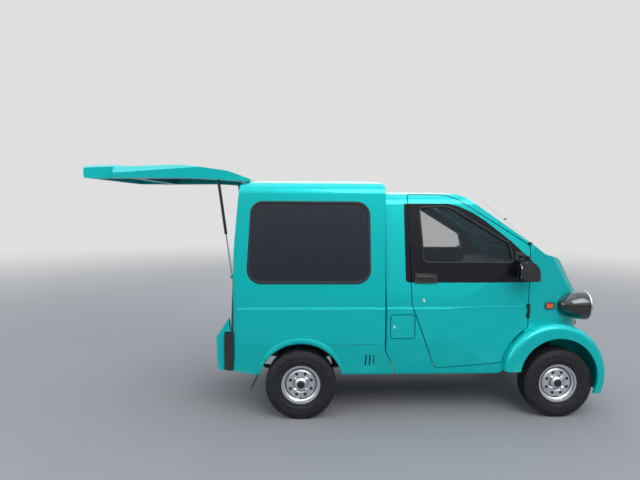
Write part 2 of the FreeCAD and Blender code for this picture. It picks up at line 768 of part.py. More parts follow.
# rim section of (radius, offset outwards, corner radius): flanges, barrel, dished disc and hub
discOut = 40.0
discEdge = 30.0
rimSection = [
    (rimRadius, -rimHalfWidth, 0.0),
    (rimRadius, -bead, 0.0),
    (barrel, -bead, 0.0),
    (barrel, -18.0, 0.0),
    (118.0, -8.0, 0.0),
    (118.0, 26.0, 0.0),
    (barrel, 34.0, 0.0),
    (barrel, bead, 0.0),
    (rimRadius, bead, 0.0),
    (rimRadius, rimHalfWidth, 0.0),
    (rimRadius - 12.0, rimHalfWidth - 2.0, 0.0),
    (rimRadius - 14.0, 37.0, 0.0),
    (112.0, discEdge, 0.0),
    (106.0, discEdge, 0.0),
    (96.0, discOut, 8.0),
    (60.0, discOut, 8.0),
    (44.0, 24.0, 0.0),
    (44.0, 50.0, 0.0),
    (34.0, 56.0, 0.0),
    (0.0, 56.0, 0.0),
    (0.0, 18.0, 0.0),
    (hubBore, 18.0, 0.0),
    (hubBore, -48.0, 0.0),
    (drumRadius, -48.0, 0.0),
    (drumRadius, 10.0, 0.0),
    (56.0, 18.0, 0.0),
    (62.0, discOut - 6.0, 0.0),
    (94.0, discOut - 6.0, 0.0),
    (112.0, 22.0, 0.0),
    (112.0, -6.0, 0.0),
    (rimRadius - 12.0, -16.0, 0.0),
    (rimRadius - 12.0, -rimHalfWidth, 0.0),
]
airHoles = 8
airHoleRing = 82.0
airHoleRadius = 9.0


def wheelSet(centreX, side):
    tyre = spunWheel(tyreSection, centreX, side)
    rim = spunWheel(rimSection, centreX, side)
    for hole in range(airHoles):
        angle = 2 * math.pi * (hole + 0.5) / airHoles
        spot = Vector(centreX + airHoleRing * math.cos(angle), side * (trackHalf + discEdge - 4.0),
                      hubZ + airHoleRing * math.sin(angle))
        rim = rim.cut(disc(airHoleRadius, spot, Vector(0, side, 0), discOut))
    return tyre, rim


# Power train: engine under the seats, shaft to the axle, exhaust and tank
engineRearX = -1180.0
engineFrontX = railStepX - crossHalf - seatGap
gearboxRearX = boxFrontX - 77.0
engineHalf = 185.0
engine = block(engineRearX, engineFrontX, -engineHalf, engineHalf, 262.0, 545.0)
gearbox = prism([(engineRearX + 2.0, 285.0, 20.0), (engineRearX + 2.0, 430.0, 40.0),
                 (gearboxRearX, 372.0, 20.0),
                 (gearboxRearX, 300.0, 20.0)], sidePlace(-70.0), Vector(0, 140.0, 0))
engine = engine.fuse(gearbox)
flangeRadius = 38.0
flangeThick = 22.0
shaftFront = Vector(gearboxRearX - seatGap, 0, 336.0)
shaftRear = Vector(rearAxleX + axleBulge + 22.0 + seatGap, 0, hubZ + 10.0)
shaftRun = shaftRear - shaftFront
shaftInset = shaftRun.normalize() * (flangeThick / 2)
shaftTube = disc(flangeThick, shaftFront + shaftInset, shaftRear - shaftFront,
                 (shaftRear - shaftFront).Length - flangeThick)
propShaft = fused([
    shaftTube,
    disc(flangeRadius, shaftFront, Vector(-1, 0, 0), flangeThick),
    disc(flangeRadius, shaftRear, Vector(1, 0, 0), flangeThick),
])
pipeRadius = 16.0
tailPipeRadius = 15.0
tailPipeZ = 292.0
tailPipeLong = 160.0
pipe = [(engineRearX + 60.0, engineHalf + seatGap, 300.0), (engineRearX + 60.0, 245.0, 300.0),
        (rearAxleX + 280.0, 245.0, 310.0), (rearAxleX + 140.0, mufflerY, 330.0),
        (rearAxleX - 140.0, mufflerY, 330.0), (rearAxleX - 220.0, mufflerY, 316.0)]
pipe = [Vector(*point) for point in pipe]
pipePieces = [disc(mufflerRadius, Vector(mufflerX, mufflerY, mufflerZ), Vector(1, 0, 0), mufflerLong)]
for start, stop in zip(pipe, pipe[1:]):
    pipePieces.append(disc(pipeRadius, start, stop - start, (stop - start).Length))
for joint in pipe[1:]:
    pipePieces.append(Part.makeSphere(pipeRadius, joint))
pipePieces.append(disc(tailPipeRadius, Vector(mufflerX + 2.0, mufflerY, tailPipeZ), Vector(-1, 0, 0),
                       tailPipeLong))
exhaust = fused(pipePieces)
tankTop = railLow - seatGap
fuelTank = prism([(rearAxleX + 212.0, tankTop, 10.0), (boxFrontX - 37.0, tankTop, 10.0),
                  (boxFrontX - 37.0, 300.0, 40.0),
                  (rearAxleX + 240.0, 290.0, 40.0)], sidePlace(-372.0), Vector(0, 270.0, 0))

# Front wings: a domed ring and an inner wall over each wheel, spun from one section and cut by the arch
fenderProfile = [
    (0.0, -fenderInnerY, 0.0),
    (fenderRadius, -fenderInnerY, 0.0),
    (fenderRadius, -fenderHalfWidth, fenderRound),
    (fenderLipRadius, -fenderHalfWidth, 0.0),
    (fenderLipRadius, -fenderHalfWidth + fenderLip, 0.0),
    (fenderRadius - fenderWall, -fenderHalfWidth + fenderLip, fenderRound - fenderWall),
    (fenderRadius - fenderWall, -fenderInnerY - fenderInnerThick, 0.0),
    (0.0, -fenderInnerY - fenderInnerThick, 0.0),
]
fenderFace = Part.Face(outline(fenderProfile, lambda r, y: Vector(fenderCentreX + r, y, fenderCentreZ)))
fenderRight = fenderFace.revolve(Vector(fenderCentreX, 0, fenderCentreZ), Vector(0, 1, 0), 360)
fenderRight = fenderRight.cut(disc(frontArchRadius, Vector(frontArchCentreX, -bodyReach, frontArchCentreZ),
                                   Vector(0, 1, 0), bodyReach - fenderHalfWidth + fenderLip + 3.0))
fenderRight = fenderRight.cut(disc(seatPlateRadius + 10.0, onSteerAxis(springLow - 8.0), steerAxis, 200.0))
fenderRight = fenderRight.cut(block(-bodyReach, fenderCentreX, -bodyReach, 0, -100, fenderRearBottomZ))
fenderRight = fenderRight.cut(block(fenderCentreX - 1, bodyReach, -bodyReach, 0, -100, fenderFrontBottomZ))

# Front bumper, cut to fit round the wings
frontBumperHalf = 392.0
frontBumperX = 370.0
frontBumperBack = frontRailEnd + seatGap
bumperTop = noseFloorZ - seatGap
frontBumper = prism([(frontBumperBack, bumperTop, 6.0), (325.0, bumperTop, 12.0),
                     (frontBumperX, 505.0, 18.0),
                     (frontBumperX, 450.0, 20.0), (330.0, 400.0, 20.0), (frontBumperBack, 380.0, 6.0)],
                    sidePlace(-frontBumperHalf), Vector(0, frontBumperHalf * 2, 0))
frontBumper = frontBumper.common(prism([
    (frontBumperBack - 10.0, -frontBumperHalf - 4.0, 0), (330.0, -frontBumperHalf - 4.0, 60.0),
    (frontBumperX + 1.0, -200.0, 400.0), (frontBumperX + 1.0, 200.0, 400.0), (330.0,
                                                                              frontBumperHalf + 4.0, 60.0),
    (frontBumperBack - 10.0, frontBumperHalf + 4.0, 0)], planPlace(300.0), Vector(0, 0, 300.0)))
frontBumper = max(frontBumper.cut(wheelRoom).Solids, key=lambda piece: piece.Volume)

# Rear bumper with raised corners that carry the lamps, and black strips ahead of them
bumperBackX = rearAxleX - 532.0
bumperX = rearAxleX - 592.0
bumperLow = 352.0
bumperTopZ = 500.0
bumperHalf = gateHalfWidth
bumperCorner = 26.0
cornerWide = gateHalfWidth - gateNarrowHalf - 10.0
cornerStripX = rimBottomX - seamGap
stripHigh = 621.0
stripHalf = boxHalfWidth - 8.0
stripWide = 74.0
stripFrontX = rimBottomX + 16.0
bumperPlan = prism([(cornerStripX, -bumperHalf - 1.0, 0), (bumperX - 1.0, -bumperHalf - 1.0, bumperCorner),
                    (bumperX - 1.0, bumperHalf + 1.0, bumperCorner), (cornerStripX, bumperHalf + 1.0, 0)],
                   planPlace(300.0), Vector(0, 0, 500.0))
bumperBar = prism([(bumperBackX, bumperLow + 4.0, 8.0), (bumperX + 15.0, bumperLow - 2.0, 30.0),
                   (bumperX, bumperTopZ, 26.0),
                   (bumperBackX, bumperTopZ, 6.0)], sidePlace(-bumperHalf), Vector(0, bumperHalf * 2, 0))
bumperEnd = prism([(bumperBackX, bumperLow + 4.0, 8.0), (bumperX + 15.0, bumperLow - 2.0, 30.0),
                   (bumperX, 590.0, 24.0),
                   (rearAxleX - 518.0, 700.0, 18.0), (rearAxleX - 503.0, 722.0, 4.0),
                   (cornerStripX + 1.0, stripHigh + 8.0, 4.0), (bumperBackX, stripHigh + 8.0, 4.0)],
                  sidePlace(-bumperHalf), Vector(0, cornerWide, 0))
bumperOuter = fused([bumperBar, bumperEnd, mirrored(bumperEnd)]).common(bumperPlan)
bumperBrackets = [block(bumperBackX - 4.0, rimBottomX, y - 20.0, y + 20.0, 380.0, 440.0) for y in (-300.0,
                                                                                                   300.0)]
lampInner = bumperHalf - cornerWide + 4.0
lampOuter = bumperHalf - bumperCorner
lampLow = 404.0
lampHigh = 556.0
lampDeep = 14.0
lampRecess = block(bumperX - 5.0, bumperX + lampDeep, -lampOuter, -lampInner, lampLow, lampHigh)
rearBumper = fused([bumperOuter] + bumperBrackets).cut(bothSides(lampRecess))
lampLens = bumperOuter.common(block(bumperX - 5.0, bumperX + lampDeep - seatGap, -lampOuter + seatGap,
                                    -lampInner - seatGap, lampLow + seatGap, lampHigh - seatGap))
tailLamps = bothSides(lampLens)
lampStrip = prism([(stripFrontX, bumperLow + 4.0, 8.0), (bumperBackX + seatGap, bumperLow + 10.0, 8.0),
                   (bumperBackX + seatGap, stripHigh, 12.0), (stripFrontX, stripHigh, 8.0)],
                  sidePlace(-stripHalf), Vector(0, stripWide, 0)).cut(boxSolid(-seatGap))
cornerStrips = bothSides(lampStrip)


# Lamp pods: half an egg behind each round lamp, and its clear lens
def podSolid(grow):
    # spun round the lamp's axis from tip to ring; its tail sinks into the body's corner
    ringCentre = Vector(podRingX, -podCentreY, podCentreZ)
    tip = Vector(podTipX - grow, -podCentreY, podCentreZ)
    ringTop = ringCentre + Vector(0, 0, podRadius + grow)
    curve = Part.ArcOfEllipse(Part.Ellipse(tip, ringTop, ringCentre), 0, math.pi / 2).toShape()
    profile = Part.Wire(Part.__sortEdges__([curve, Part.LineSegment(ringTop, ringCentre).toShape(),
                                            Part.LineSegment(ringCentre, tip).toShape()]))
    return spun(profile, ringCentre, Vector(1, 0, 0))


podRing = Vector(podRingX, -podCentreY, podCentreZ)
podCutter = podSolid(seatGap).fuse(disc(podRadius + seatGap, podRing, Vector(1, 0, 0), 80.0))
podBowl = 60.0
podRight = podSolid(0.0).cut(disc(podRadius - podWall, podRing - Vector(podBowl, 0, 0), Vector(1, 0, 0),
                                  podBowl + 20.0))
nosePanel = noseSolid(0.0).cut(noseSolid(noseWall)).cut(wheelRoom).cut(bothSides(podCutter))
lensDepth = 38.0
lensThick = 5.0
lensRadius = podRadius - podWall - seatGap
lensBackX = podRingX - 6.0
lensBall = (lensRadius ** 2 + lensDepth ** 2) / (2 * lensDepth)
lensCentre = Vector(lensBackX + lensDepth - lensBall, -podCentreY, podCentreZ)
lensRight = Part.makeSphere(lensBall, lensCentre).cut(Part.makeSphere(lensBall - lensThick, lensCentre))
lensRight = lensRight.common(disc(podRadius, Vector(lensBackX, -podCentreY, podCentreZ), Vector(1, 0, 0),
                                  lensDepth * 2))

# Turn lamps: one on each side of the nose, one pair on its front
sideLampSide = [(-76.0, 776.0, 8.0), (-76.0, 820.0, 8.0), (-6.0, 812.0, 8.0), (-6.0, 772.0, 8.0)]
turnLampRight = sideCut(sideLampSide).common(skin(cabSolid, -9.0, -seatGap))
frontTurn = disc(34.0, Vector(220.0, -318.0, 636.0), Vector(1, 0, 0),
                 120.0).common(skin(cabSolid, -12.0, -seatGap))

# Doors with their windows, glass, handles and mirrors
doorRight = sideCut(doorSide, 0.0, doorInnerY).common(cabOuter.cut(cabSolid(doorWall)))
doorRight = doorRight.cut(fenderDisc(doorFenderRadius, 0.0)).cut(sideCut(doorWindow))
doorRight = doorRight.cut(block(-560.0, doorHingeX, -doorFootInnerY, 0.0, cabSillZ - 10.0,
                                noseFloorZ + 60.0))
glassIn = 14.0
glassThick = 4.0
doorGlassRight = sideCut(doorWindow, seatGap).common(skin(cabSolid, glassIn, glassIn + glassThick))
handleSide = [(-1046.0, 970.0, 8.0), (-1042.0, 1042.0, 14.0), (-892.0, 1036.0, 18.0), (-886.0, 970.0, 10.0)]
handleRight = sideCut(handleSide).common(skin(cabSolid, -8.0, -seatGap))
mirrorRearX = -341.0
mirrorFrontX = -197.0
mirrorLow = 1002.0
mirrorHigh = 1133.0
mirrorOuterY = -742.0
mirrorInnerY = -650.0
mirrorSide = [(mirrorRearX, mirrorLow, 44.0), (mirrorRearX, mirrorHigh, 50.0), (-262.0, mirrorHigh, 44.0),
              (-222.0, 1084.0, 50.0), (mirrorFrontX, 1024.0, 26.0), (mirrorFrontX - 6.0, mirrorLow, 12.0)]
mirrorHead = prism(mirrorSide, sidePlace(mirrorOuterY), Vector(0, mirrorInnerY - mirrorOuterY, 0))
mirrorHead = mirrorHead.common(prism([(mirrorRearX, mirrorOuterY, 12.0), (mirrorFrontX, mirrorOuterY, 58.0),
                                      (mirrorFrontX, mirrorInnerY, 30.0), (mirrorRearX, mirrorInnerY, 8.0)],
                                     planPlace(mirrorLow), Vector(0, 0, mirrorHigh - mirrorLow)))
stalkRadius = 8.0
stalk = [Vector(-300.0, -560.0, 1160.0), Vector(-284.0, -696.0, 1166.0),
         Vector(-280.0, -696.0, mirrorHigh - 24.0)]
stalkPieces = [Part.makeSphere(stalkRadius, stalk[1])]
for start, stop in zip(stalk, stalk[1:]):
    stalkPieces.append(disc(stalkRadius, start, stop - start, (stop - start).Length))
stalkFoot = sideCut([(-336.0, 1130.0, 14.0), (-326.0, 1196.0, 14.0), (-272.0, 1186.0, 14.0),
                     (-262.0, 1130.0, 14.0)])
stalkPieces.append(stalkFoot.common(skin(cabSolid, -7.0, -seatGap)))
mirrorRight = fused([mirrorHead] + stalkPieces).cut(cabSolid(-seatGap))

# Door hinge: barrels on the door and on the body turn on one pin
hingeThird = (hingeHigh - hingeLow) / 3


def barrelAt(low, high, radius):
    return disc(radius, Vector(doorHingeX, -doorHingeY, low), Vector(0, 0, 1), high - low)


leafNear = 2.0
leafFar = 15.0


def leafPlate(backX, frontX, low, high):
    corners = [(backX, low, 5.0), (backX, high, 5.0), (frontX, high, 0.0), (frontX, low, 0.0)]
    return sideCut(corners).common(skin(cabSolid, -hingePlate, -seatGap))


middleLow = hingeLow + hingeThird
middleHigh = hingeHigh - hingeThird
hingeBore = barrelAt(hingeLow - 5.0, hingeHigh + 5.0, hingePinSize + runningFit)
doorHingeBody = fused([barrelAt(middleLow, middleHigh, hingeBarrelRadius),
                       barrelAt(hingeLow, hingeHigh, hingePinSize),
                       leafPlate(doorHingeX + leafNear, doorHingeX + leafFar, middleLow, middleHigh)])
doorHingeMoving = []
for low, high in ((hingeLow, middleLow - seatGap), (middleHigh + seatGap, hingeHigh)):
    leaf = leafPlate(doorHingeX - leafFar, doorHingeX - leafNear, low, high)
    doorHingeMoving.append(barrelAt(low, high, hingeBarrelRadius).fuse(leaf).cut(hingeBore))
doorTrimPieces = [handleRight] + solidsOf(mirrorRight) + solidsOf(Part.makeCompound(doorHingeMoving))
doorTrimRight = Part.makeCompound(doorTrimPieces)

# Tailgate, modelled closed, then swung up about its hinge to where it stands
# outer side outline of (x, z, corner radius), closed, from the top edge down
gateBackX = rearAxleX - 566.0
gateTailX = rearAxleX - 587.0
gateBack = [
    (rearAxleX - 448.0, 1650.0, 5.0),
    (rearAxleX - 510.0, 1500.0, 320.0),
    (gateBackX, 1180.0, 900.0),
    (gateBackX, 790.0, 80.0),
    (gateTailX, 712.0, 40.0),
    (gateTailX, gateFootZ + 4.0, 20.0),
    (rearAxleX - 526.0, gateFootZ - 4.0, 10.0),
]
gateFront = [
    (rearAxleX - 498.0, gateFootZ, 4.0),
    (rimLow[0] - gateGap, rimLow[1], 0.0),
    (rimMiddle[0] - gateGap, rimMiddle[1], rimBow),
    (rearAxleX - 431.0, 1642.0, 3.0),
]
gateHalfSection = [
    (-gateNarrowHalf, gateFootZ - 22.0, 20.0),
    (-gateNarrowHalf, gateStepZ, 24.0),
    (-gateHalfWidth, gateStepZ, 16.0),
    (-gateHalfWidth, waistZ + 20.0, 500.0),
    (-gateTopHalf, 1664.0, 95.0),
]
gateSection = gateHalfSection + [(-y, z, curve) for y, z, curve in reversed(gateHalfSection)]
gatePlanSide = [
    (rearAxleX - 360.0, -gateHalfWidth - 96.0, 0.0),
    (rearAxleX - 500.0, -gateHalfWidth - 36.0, 20.0),
    (gateTailX - 1.0, -gateHalfWidth + 104.0, 160.0),
]
gatePlan = gatePlanSide + [(x, -y, curve) for x, y, curve in reversed(gatePlanSide)]
gateReach = 500.0


def gateBody(frontPoints, inset=0.0):
    side = prism(gateBack + frontPoints, sidePlace(-bodyReach), Vector(0, bodyReach * 2, 0), inset)
    section = prism(gateSection, frontPlace(gateTailX - 100.0), Vector(gateReach, 0, 0), inset)
    plan = prism(gatePlan, planPlace(400.0), Vector(0, 0, 1400.0), inset)
    return side.common(section).common(plan)


gateDeepFront = [(rearAxleX - 310.0, gateFootZ, 0), (rearAxleX - 310.0, 1642.0, 0)]
gateWindow = [(-gateHalfWidth + 152.0, 880.0, 70.0), (-gateTopHalf + 118.0, 1545.0, 70.0),
              (gateTopHalf - 118.0, 1545.0, 70.0), (gateHalfWidth - 152.0, 880.0, 70.0)]
gateWindowCut = prism(gateWindow, frontPlace(gateTailX - 80.0), Vector(gateReach, 0, 0))
recessHalf = gateNarrowHalf - 52.0
gatePanelRecess = opening(recessHalf, 570.0, recessHalf, 820.0, 40.0, 40.0, rearAxleX - 535.0, 100.0)
channelHalf = 16.0
channelIn = strutSpreadY - channelHalf
channelOut = strutSpreadY + channelHalf
channelDepth = 30.0
channelFloor = [(rimMiddle[0] - gateGap - channelDepth, rimMiddle[1], 0),
                (rearAxleX - 438.0 - channelDepth, 1480.0, 0), (rearAxleX - 360.0, 1480.0, 0),
                (rearAxleX - 360.0, strutBodyPin[1] - 44.0, 0),
                (rearAxleX - 482.0 - channelDepth, strutBodyPin[1] - 44.0, 0)]
gateChannel = prism(channelFloor, sidePlace(-channelOut), Vector(0, channelOut - channelIn, 0))
gateShellClosed = gateBody(gateFront).cut(gateWindowCut).cut(gatePanelRecess).cut(bothSides(gateChannel))
gatePin = disc(gatePinRadius, Vector(strutGatePin[0], -channelOut - 4.0, strutGatePin[1]), Vector(0, 1, 0),
               channelOut - strutSpreadY + 10.0)
gateArm = fused([
    disc(hingeEye, Vector(gateHingeX, -armY - armHalf, gateHingeZ), Vector(0, 1, 0), armHalf * 2),
    prism([(gateHingeX, gateHingeZ - 10.0, 0), (rearAxleX - 444.0, 1606.0, 0),
           (rearAxleX - 444.0, 1640.0, 0),
           (gateHingeX, gateHingeZ + 10.0, 0)], sidePlace(-armY - armHalf), Vector(0, armHalf * 2, 0)),
]).cut(disc(hingePinRadius + runningFit, Vector(gateHingeX, -armY - 50.0, gateHingeZ), Vector(0, 1, 0),
            100.0))
gateShellClosed = fused([gateShellClosed, gatePin, mirrored(gatePin), gateArm, mirrored(gateArm)])
gateGlassClosed = gateBody(gateDeepFront, 4.0).cut(gateBody(gateDeepFront, 9.0))
gateGlassClosed = gateGlassClosed.common(prism(gateWindow, frontPlace(gateTailX - 80.0),
                                               Vector(gateReach - 240.0, 0, 0),
                                               seatGap))


def swungUp(shape):
    turned = shape.copy()
    turned.rotate(Vector(gateHingeX, 0, gateHingeZ), Vector(0, 1, 0), gateSwing)
    return turned


tailgate = swungUp(gateShellClosed)
tailgateGlass = swungUp(gateGlassClosed)

# Hinge seats in the roof's rear corner, and the struts' body pins
hingeSeat = block(gateHingeX - 31.0, gateHingeX + 31.0, -armY - slotHalf - 14.0, -armY + slotHalf + 14.0,
                  gateHingeZ - 20.0, gateHingeZ + 24.0)
hingeSlot = block(rimBottomX - 72.0, gateHingeX + 25.0, -armY - slotHalf, -armY + slotHalf,
                  gateHingeZ - 24.0, 1760.0)
hingePin = disc(hingePinRadius, Vector(gateHingeX, -armY - slotHalf - 5.0, gateHingeZ), Vector(0, 1, 0),
                slotHalf * 2 + 10.0)
pinX, pinZ = strutBodyPin
pinBracket = prism([(rimMiddle[0] + 3.0, pinZ - 18.0, 4.0), (pinX - 9.0, pinZ - 10.0, 6.0),
                    (pinX - 9.0, pinZ + 10.0, 6.0),
                    (rimMiddle[0] + 3.0, pinZ + 18.0, 4.0)], sidePlace(-strutSpreadY - 15.0), Vector(0,
                                                                                                     5.0, 0))
ballPin = disc(5.0, Vector(pinX, -strutSpreadY - 11.0, pinZ), Vector(0, 1, 0), 10.5 - strutEyeThick / 2)
cargoShell = fused([cargoShell, hingeSeat, mirrored(hingeSeat)]).cut(bothSides(hingeSlot))
cargoShell = fused([cargoShell, hingePin, mirrored(hingePin), pinBracket, mirrored(pinBracket), ballPin,
                    mirrored(ballPin)])

# Gas struts, drawn between the gate pin where it now stands and the body pin
gatePinOpen = swungUp(Part.Vertex(Vector(strutGatePin[0], 0, strutGatePin[1]))).Point
strutLine = Vector(pinX, 0, pinZ) - gatePinOpen
strutAway = Vector(strutLine.x, 0, strutLine.z).normalize()
strutStart = gatePinOpen + Vector(0, -strutSpreadY, 0)
strutEnd = Vector(pinX, -strutSpreadY, pinZ)


def strutEye(centre):
    return disc(strutEyeRadius, centre - Vector(0, strutEyeThick / 2, 0), Vector(0, 1, 0), strutEyeThick)


strutTube = fused([
    disc(strutTubeRadius, strutStart + strutAway * 9.0, strutAway, strutTubeLength - 9.0),
    strutEye(strutStart),
]).cut(disc(gatePinRadius + runningFit, strutStart - Vector(0, 30.0, 0), Vector(0, 1, 0), 60.0))
strutTube = strutTube.cut(disc(strutRodRadius + 0.08, strutStart + strutAway * 14.0, strutAway,
                               strutTubeLength))
strutRod = fused([
    disc(strutRodRadius, strutEnd - strutAway * strutRodLength, strutAway, strutRodLength - 4.0),
    strutEye(strutEnd),
])

# Cabin: seats, dashboard, steering column and wheel
seatY = 270.0
seatHalf = 215.0
seatFootZ = loadZ + sheetThick + seatGap
seatOutline = [(-705.0, seatFootZ, 12.0), (-692.0, 698.0, 46.0), (-1052.0, 672.0, 66.0),
               (-1118.0, 1205.0, 34.0), (-1190.0, 1215.0, 30.0), (-1180.0, seatFootZ, 14.0)]
seatRight = prism(seatOutline, sidePlace(-seatY - seatHalf), Vector(0, seatHalf * 2, 0))
headRestHalf = 120.0
headRest = prism([(-1122.0, 1232.0, 26.0), (-1128.0, 1345.0, 26.0), (-1184.0, 1350.0, 24.0),
                  (-1184.0, 1232.0, 22.0)],
                 sidePlace(-seatY - headRestHalf), Vector(0, headRestHalf * 2, 0))
restPosts = [disc(6.0, Vector(-1154.0, -seatY + y, 1190.0), Vector(0, 0, 1), 60.0) for y in (-60.0, 60.0)]
seatRight = fused([seatRight, headRest] + restPosts)
dashboard = prism([(-395.0, 900.0, 20.0), (-410.0, 985.0, 30.0), (-330.0, 1062.0, 40.0),
                   (-150.0, 1070.0, 12.0),
                   (-130.0, 930.0, 12.0), (-225.0, floorLine[0][1] + seatGap,
                                           4.0)], sidePlace(-cutReach / 2), fullWidth)
dashboard = dashboard.common(cabRoom)
wheelHub = Vector(-520.0, -seatY, 985.0)
columnFoot = Vector(-284.0, -seatY, 615.0)
columnAxis = (columnFoot - wheelHub).normalize()
columnLong = (columnFoot - wheelHub).Length
hubFace = 44.0
column = fused([
    disc(24.0, wheelHub + columnAxis * hubFace, columnAxis, columnLong - 20.0),
    disc(38.0, wheelHub + columnAxis * (hubFace + 16.0), columnAxis, 120.0),
    block(-440.0, -352.0, -seatY - 16.0, -seatY + 16.0, 880.0, 930.0),
]).cut(dashboard).cut(floorPan)
column = max(column.Solids, key=lambda piece: piece.Volume)
steerRingRadius = 178.0
steerGrip = 12.0
wheelParts = [Part.makeTorus(steerRingRadius, steerGrip, wheelHub, columnAxis),
              disc(34.0, wheelHub + columnAxis * 4.0, columnAxis, hubFace - 4.0 - seatGap)]
wheelSide = Vector(0, 1, 0)
wheelDown = columnAxis.cross(wheelSide)
if wheelDown.z > 0:
    wheelDown = wheelDown * -1
for direction in (wheelSide, wheelSide * -1, wheelDown):
    wheelParts.append(disc(11.0, wheelHub + columnAxis * 14.0 + direction * 20.0,
                           direction * 158.0 - columnAxis * 14.0, 156.0))
steeringWheel = fused(wheelParts)

# Windows and flaps
paneIn = 3.0
paneThick = 5.0
windscreen = prism(windscreenPlan, planPlace(1100.0), screenReach,
                   seatGap).common(skin(cabSolid, paneIn, paneIn + paneThick))
windscreen = windscreen.cut(block(screenFootX, 100.0, -bodyReach, bodyReach, 1000.0, screenFootZ + seatGap))
sideGlass = sideCut(boxWindow, seatGap).common(skin(boxSolid, paneIn, paneIn + paneThick))
flapTopX = rearAxleX - 298.0
flapFootX = rearAxleX - 348.0
flapTopZ = boxSillZ - seatGap
flapFootZ = 212.0
flapThick = 4.0
flapWide = 130.0
mudFlap = prism([(flapTopX, flapTopZ, 0), (flapTopX - flapThick, flapTopZ, 0),
                 (flapFootX - flapThick, flapFootZ, 0),
                 (flapFootX, flapFootZ, 0)], sidePlace(-stripHalf), Vector(0, flapWide, 0))

save("cab_shell", cabShell)
save("nose_panel", nosePanel)
save("cargo_shell", cargoShell)
save("floor_pan", floorPan)
save("chassis_frame", chassis)
save("front_suspension", frontSuspension)
save("front_fenders", bothSides(fenderRight))
save("front_bumper", frontBumper)
save("rear_bumper", rearBumper)
save("corner_strips", cornerStrips)
save("tail_lamps", tailLamps)
save("headlamp_pods", bothSides(podRight))
save("headlamp_lenses", bothSides(lensRight))
save("turn_lamps", Part.makeCompound([turnLampRight, mirrored(turnLampRight), frontTurn,
                                      mirrored(frontTurn)]))
save("door_hinges", bothSides(doorHingeBody))
save("fuel_lid", fuelLid)
save("windscreen", windscreen)
save("side_glass", bothSides(sideGlass))
save("mud_flaps", bothSides(mudFlap))
save("seats", bothSides(seatRight))
save("dashboard", dashboard)
save("steering_column", column)
save("steering_wheel", steeringWheel)
save("engine_block", engine)
save("propeller_shaft", propShaft)
save("exhaust", exhaust)
save("fuel_tank", fuelTank)
save("rear_axle", rearAxle)
save("leaf_springs", bothSides(leafRight))
save("knuckle_right", knuckleRight)
save("knuckle_left", mirrored(knuckleRight))
for end, centreX in (("front", 0.0), ("rear", rearAxleX)):
    for side, sign in (("right", -1), ("left", 1)):
        tyre, rim = wheelSet(centreX, sign)
        save("tyre_" + end + "_" + side, tyre)
        save("rim_" + end + "_" + side, rim)
for side, flip in (("right", False), ("left", True)):
    place = mirrored if flip else (lambda shape: shape)
    save("door_" + side, place(doorRight))
    save("door_glass_" + side, place(doorGlassRight))
    save("door_trim_" + side, place(doorTrimRight))
    save("strut_tube_" + side, place(strutTube))
    save("strut_rod_" + side, place(strutRod))
save("tailgate", tailgate)
save("tailgate_glass", tailgateGlass)
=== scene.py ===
import math

import bmesh
import bpy
from mathutils import Matrix, Vector
from mathutils.bvhtree import BVHTree


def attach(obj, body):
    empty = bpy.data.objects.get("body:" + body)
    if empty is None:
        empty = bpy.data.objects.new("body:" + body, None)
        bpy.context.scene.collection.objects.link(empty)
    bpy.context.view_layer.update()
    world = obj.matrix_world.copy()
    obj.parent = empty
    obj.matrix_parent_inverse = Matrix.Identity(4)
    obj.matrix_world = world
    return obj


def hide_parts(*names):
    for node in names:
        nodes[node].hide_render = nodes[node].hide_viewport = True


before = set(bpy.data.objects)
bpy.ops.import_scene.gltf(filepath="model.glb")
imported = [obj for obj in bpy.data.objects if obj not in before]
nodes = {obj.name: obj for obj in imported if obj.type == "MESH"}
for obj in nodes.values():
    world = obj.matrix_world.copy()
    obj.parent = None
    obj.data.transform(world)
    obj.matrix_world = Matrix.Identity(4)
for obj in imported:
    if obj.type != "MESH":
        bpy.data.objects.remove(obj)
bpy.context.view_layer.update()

# The part is drawn in millimetres from the front axle; the shared frame is in metres from
# the middle of the car.
axlePlace = 1.485
wheelbase = 1.840
hubHeight = 0.248
wheelTrack = 0.555
gateHinge = (-2.221 + axlePlace, 1.622)
gateSwing = math.radians(87.5)
bothSides = ((-1, "right"), (1, "left"))


def at(x, y, z):
    # a point given as the part gives it, in the shared frame
    return Vector((x / 1000 + axlePlace, y / 1000, z / 1000))


# Camera: stands on the car's right, a little behind its middle, and looks slightly down
view = {"x": -1817.5, "y": -3907.7, "z": 1520.0, "yaw": 1.859, "down": 4.296, "roll": 0.317,
        "focal": 27.0, "sensor": 36.0, "farthest": 200.0}
cameraData = bpy.data.cameras.new("camera")
cameraData.lens = view["focal"]
cameraData.sensor_width = view["sensor"]
cameraData.sensor_fit = "HORIZONTAL"
cameraData.clip_end = view["farthest"]
camera = bpy.data.objects.new("camera", cameraData)
bpy.context.scene.collection.objects.link(camera)
camera.matrix_world = (Matrix.Translation(at(view["x"], view["y"], view["z"]))
                       @ Matrix.Rotation(-math.radians(view["yaw"]), 4, "Z")
                       @ Matrix.Rotation(math.radians(90.0 - view["down"]), 4, "X")
                       @ Matrix.Rotation(math.radians(view["roll"]), 4, "Z"))
bpy.context.scene.camera = camera
bpy.context.scene.view_settings.view_transform = "Standard"
print("camera set")


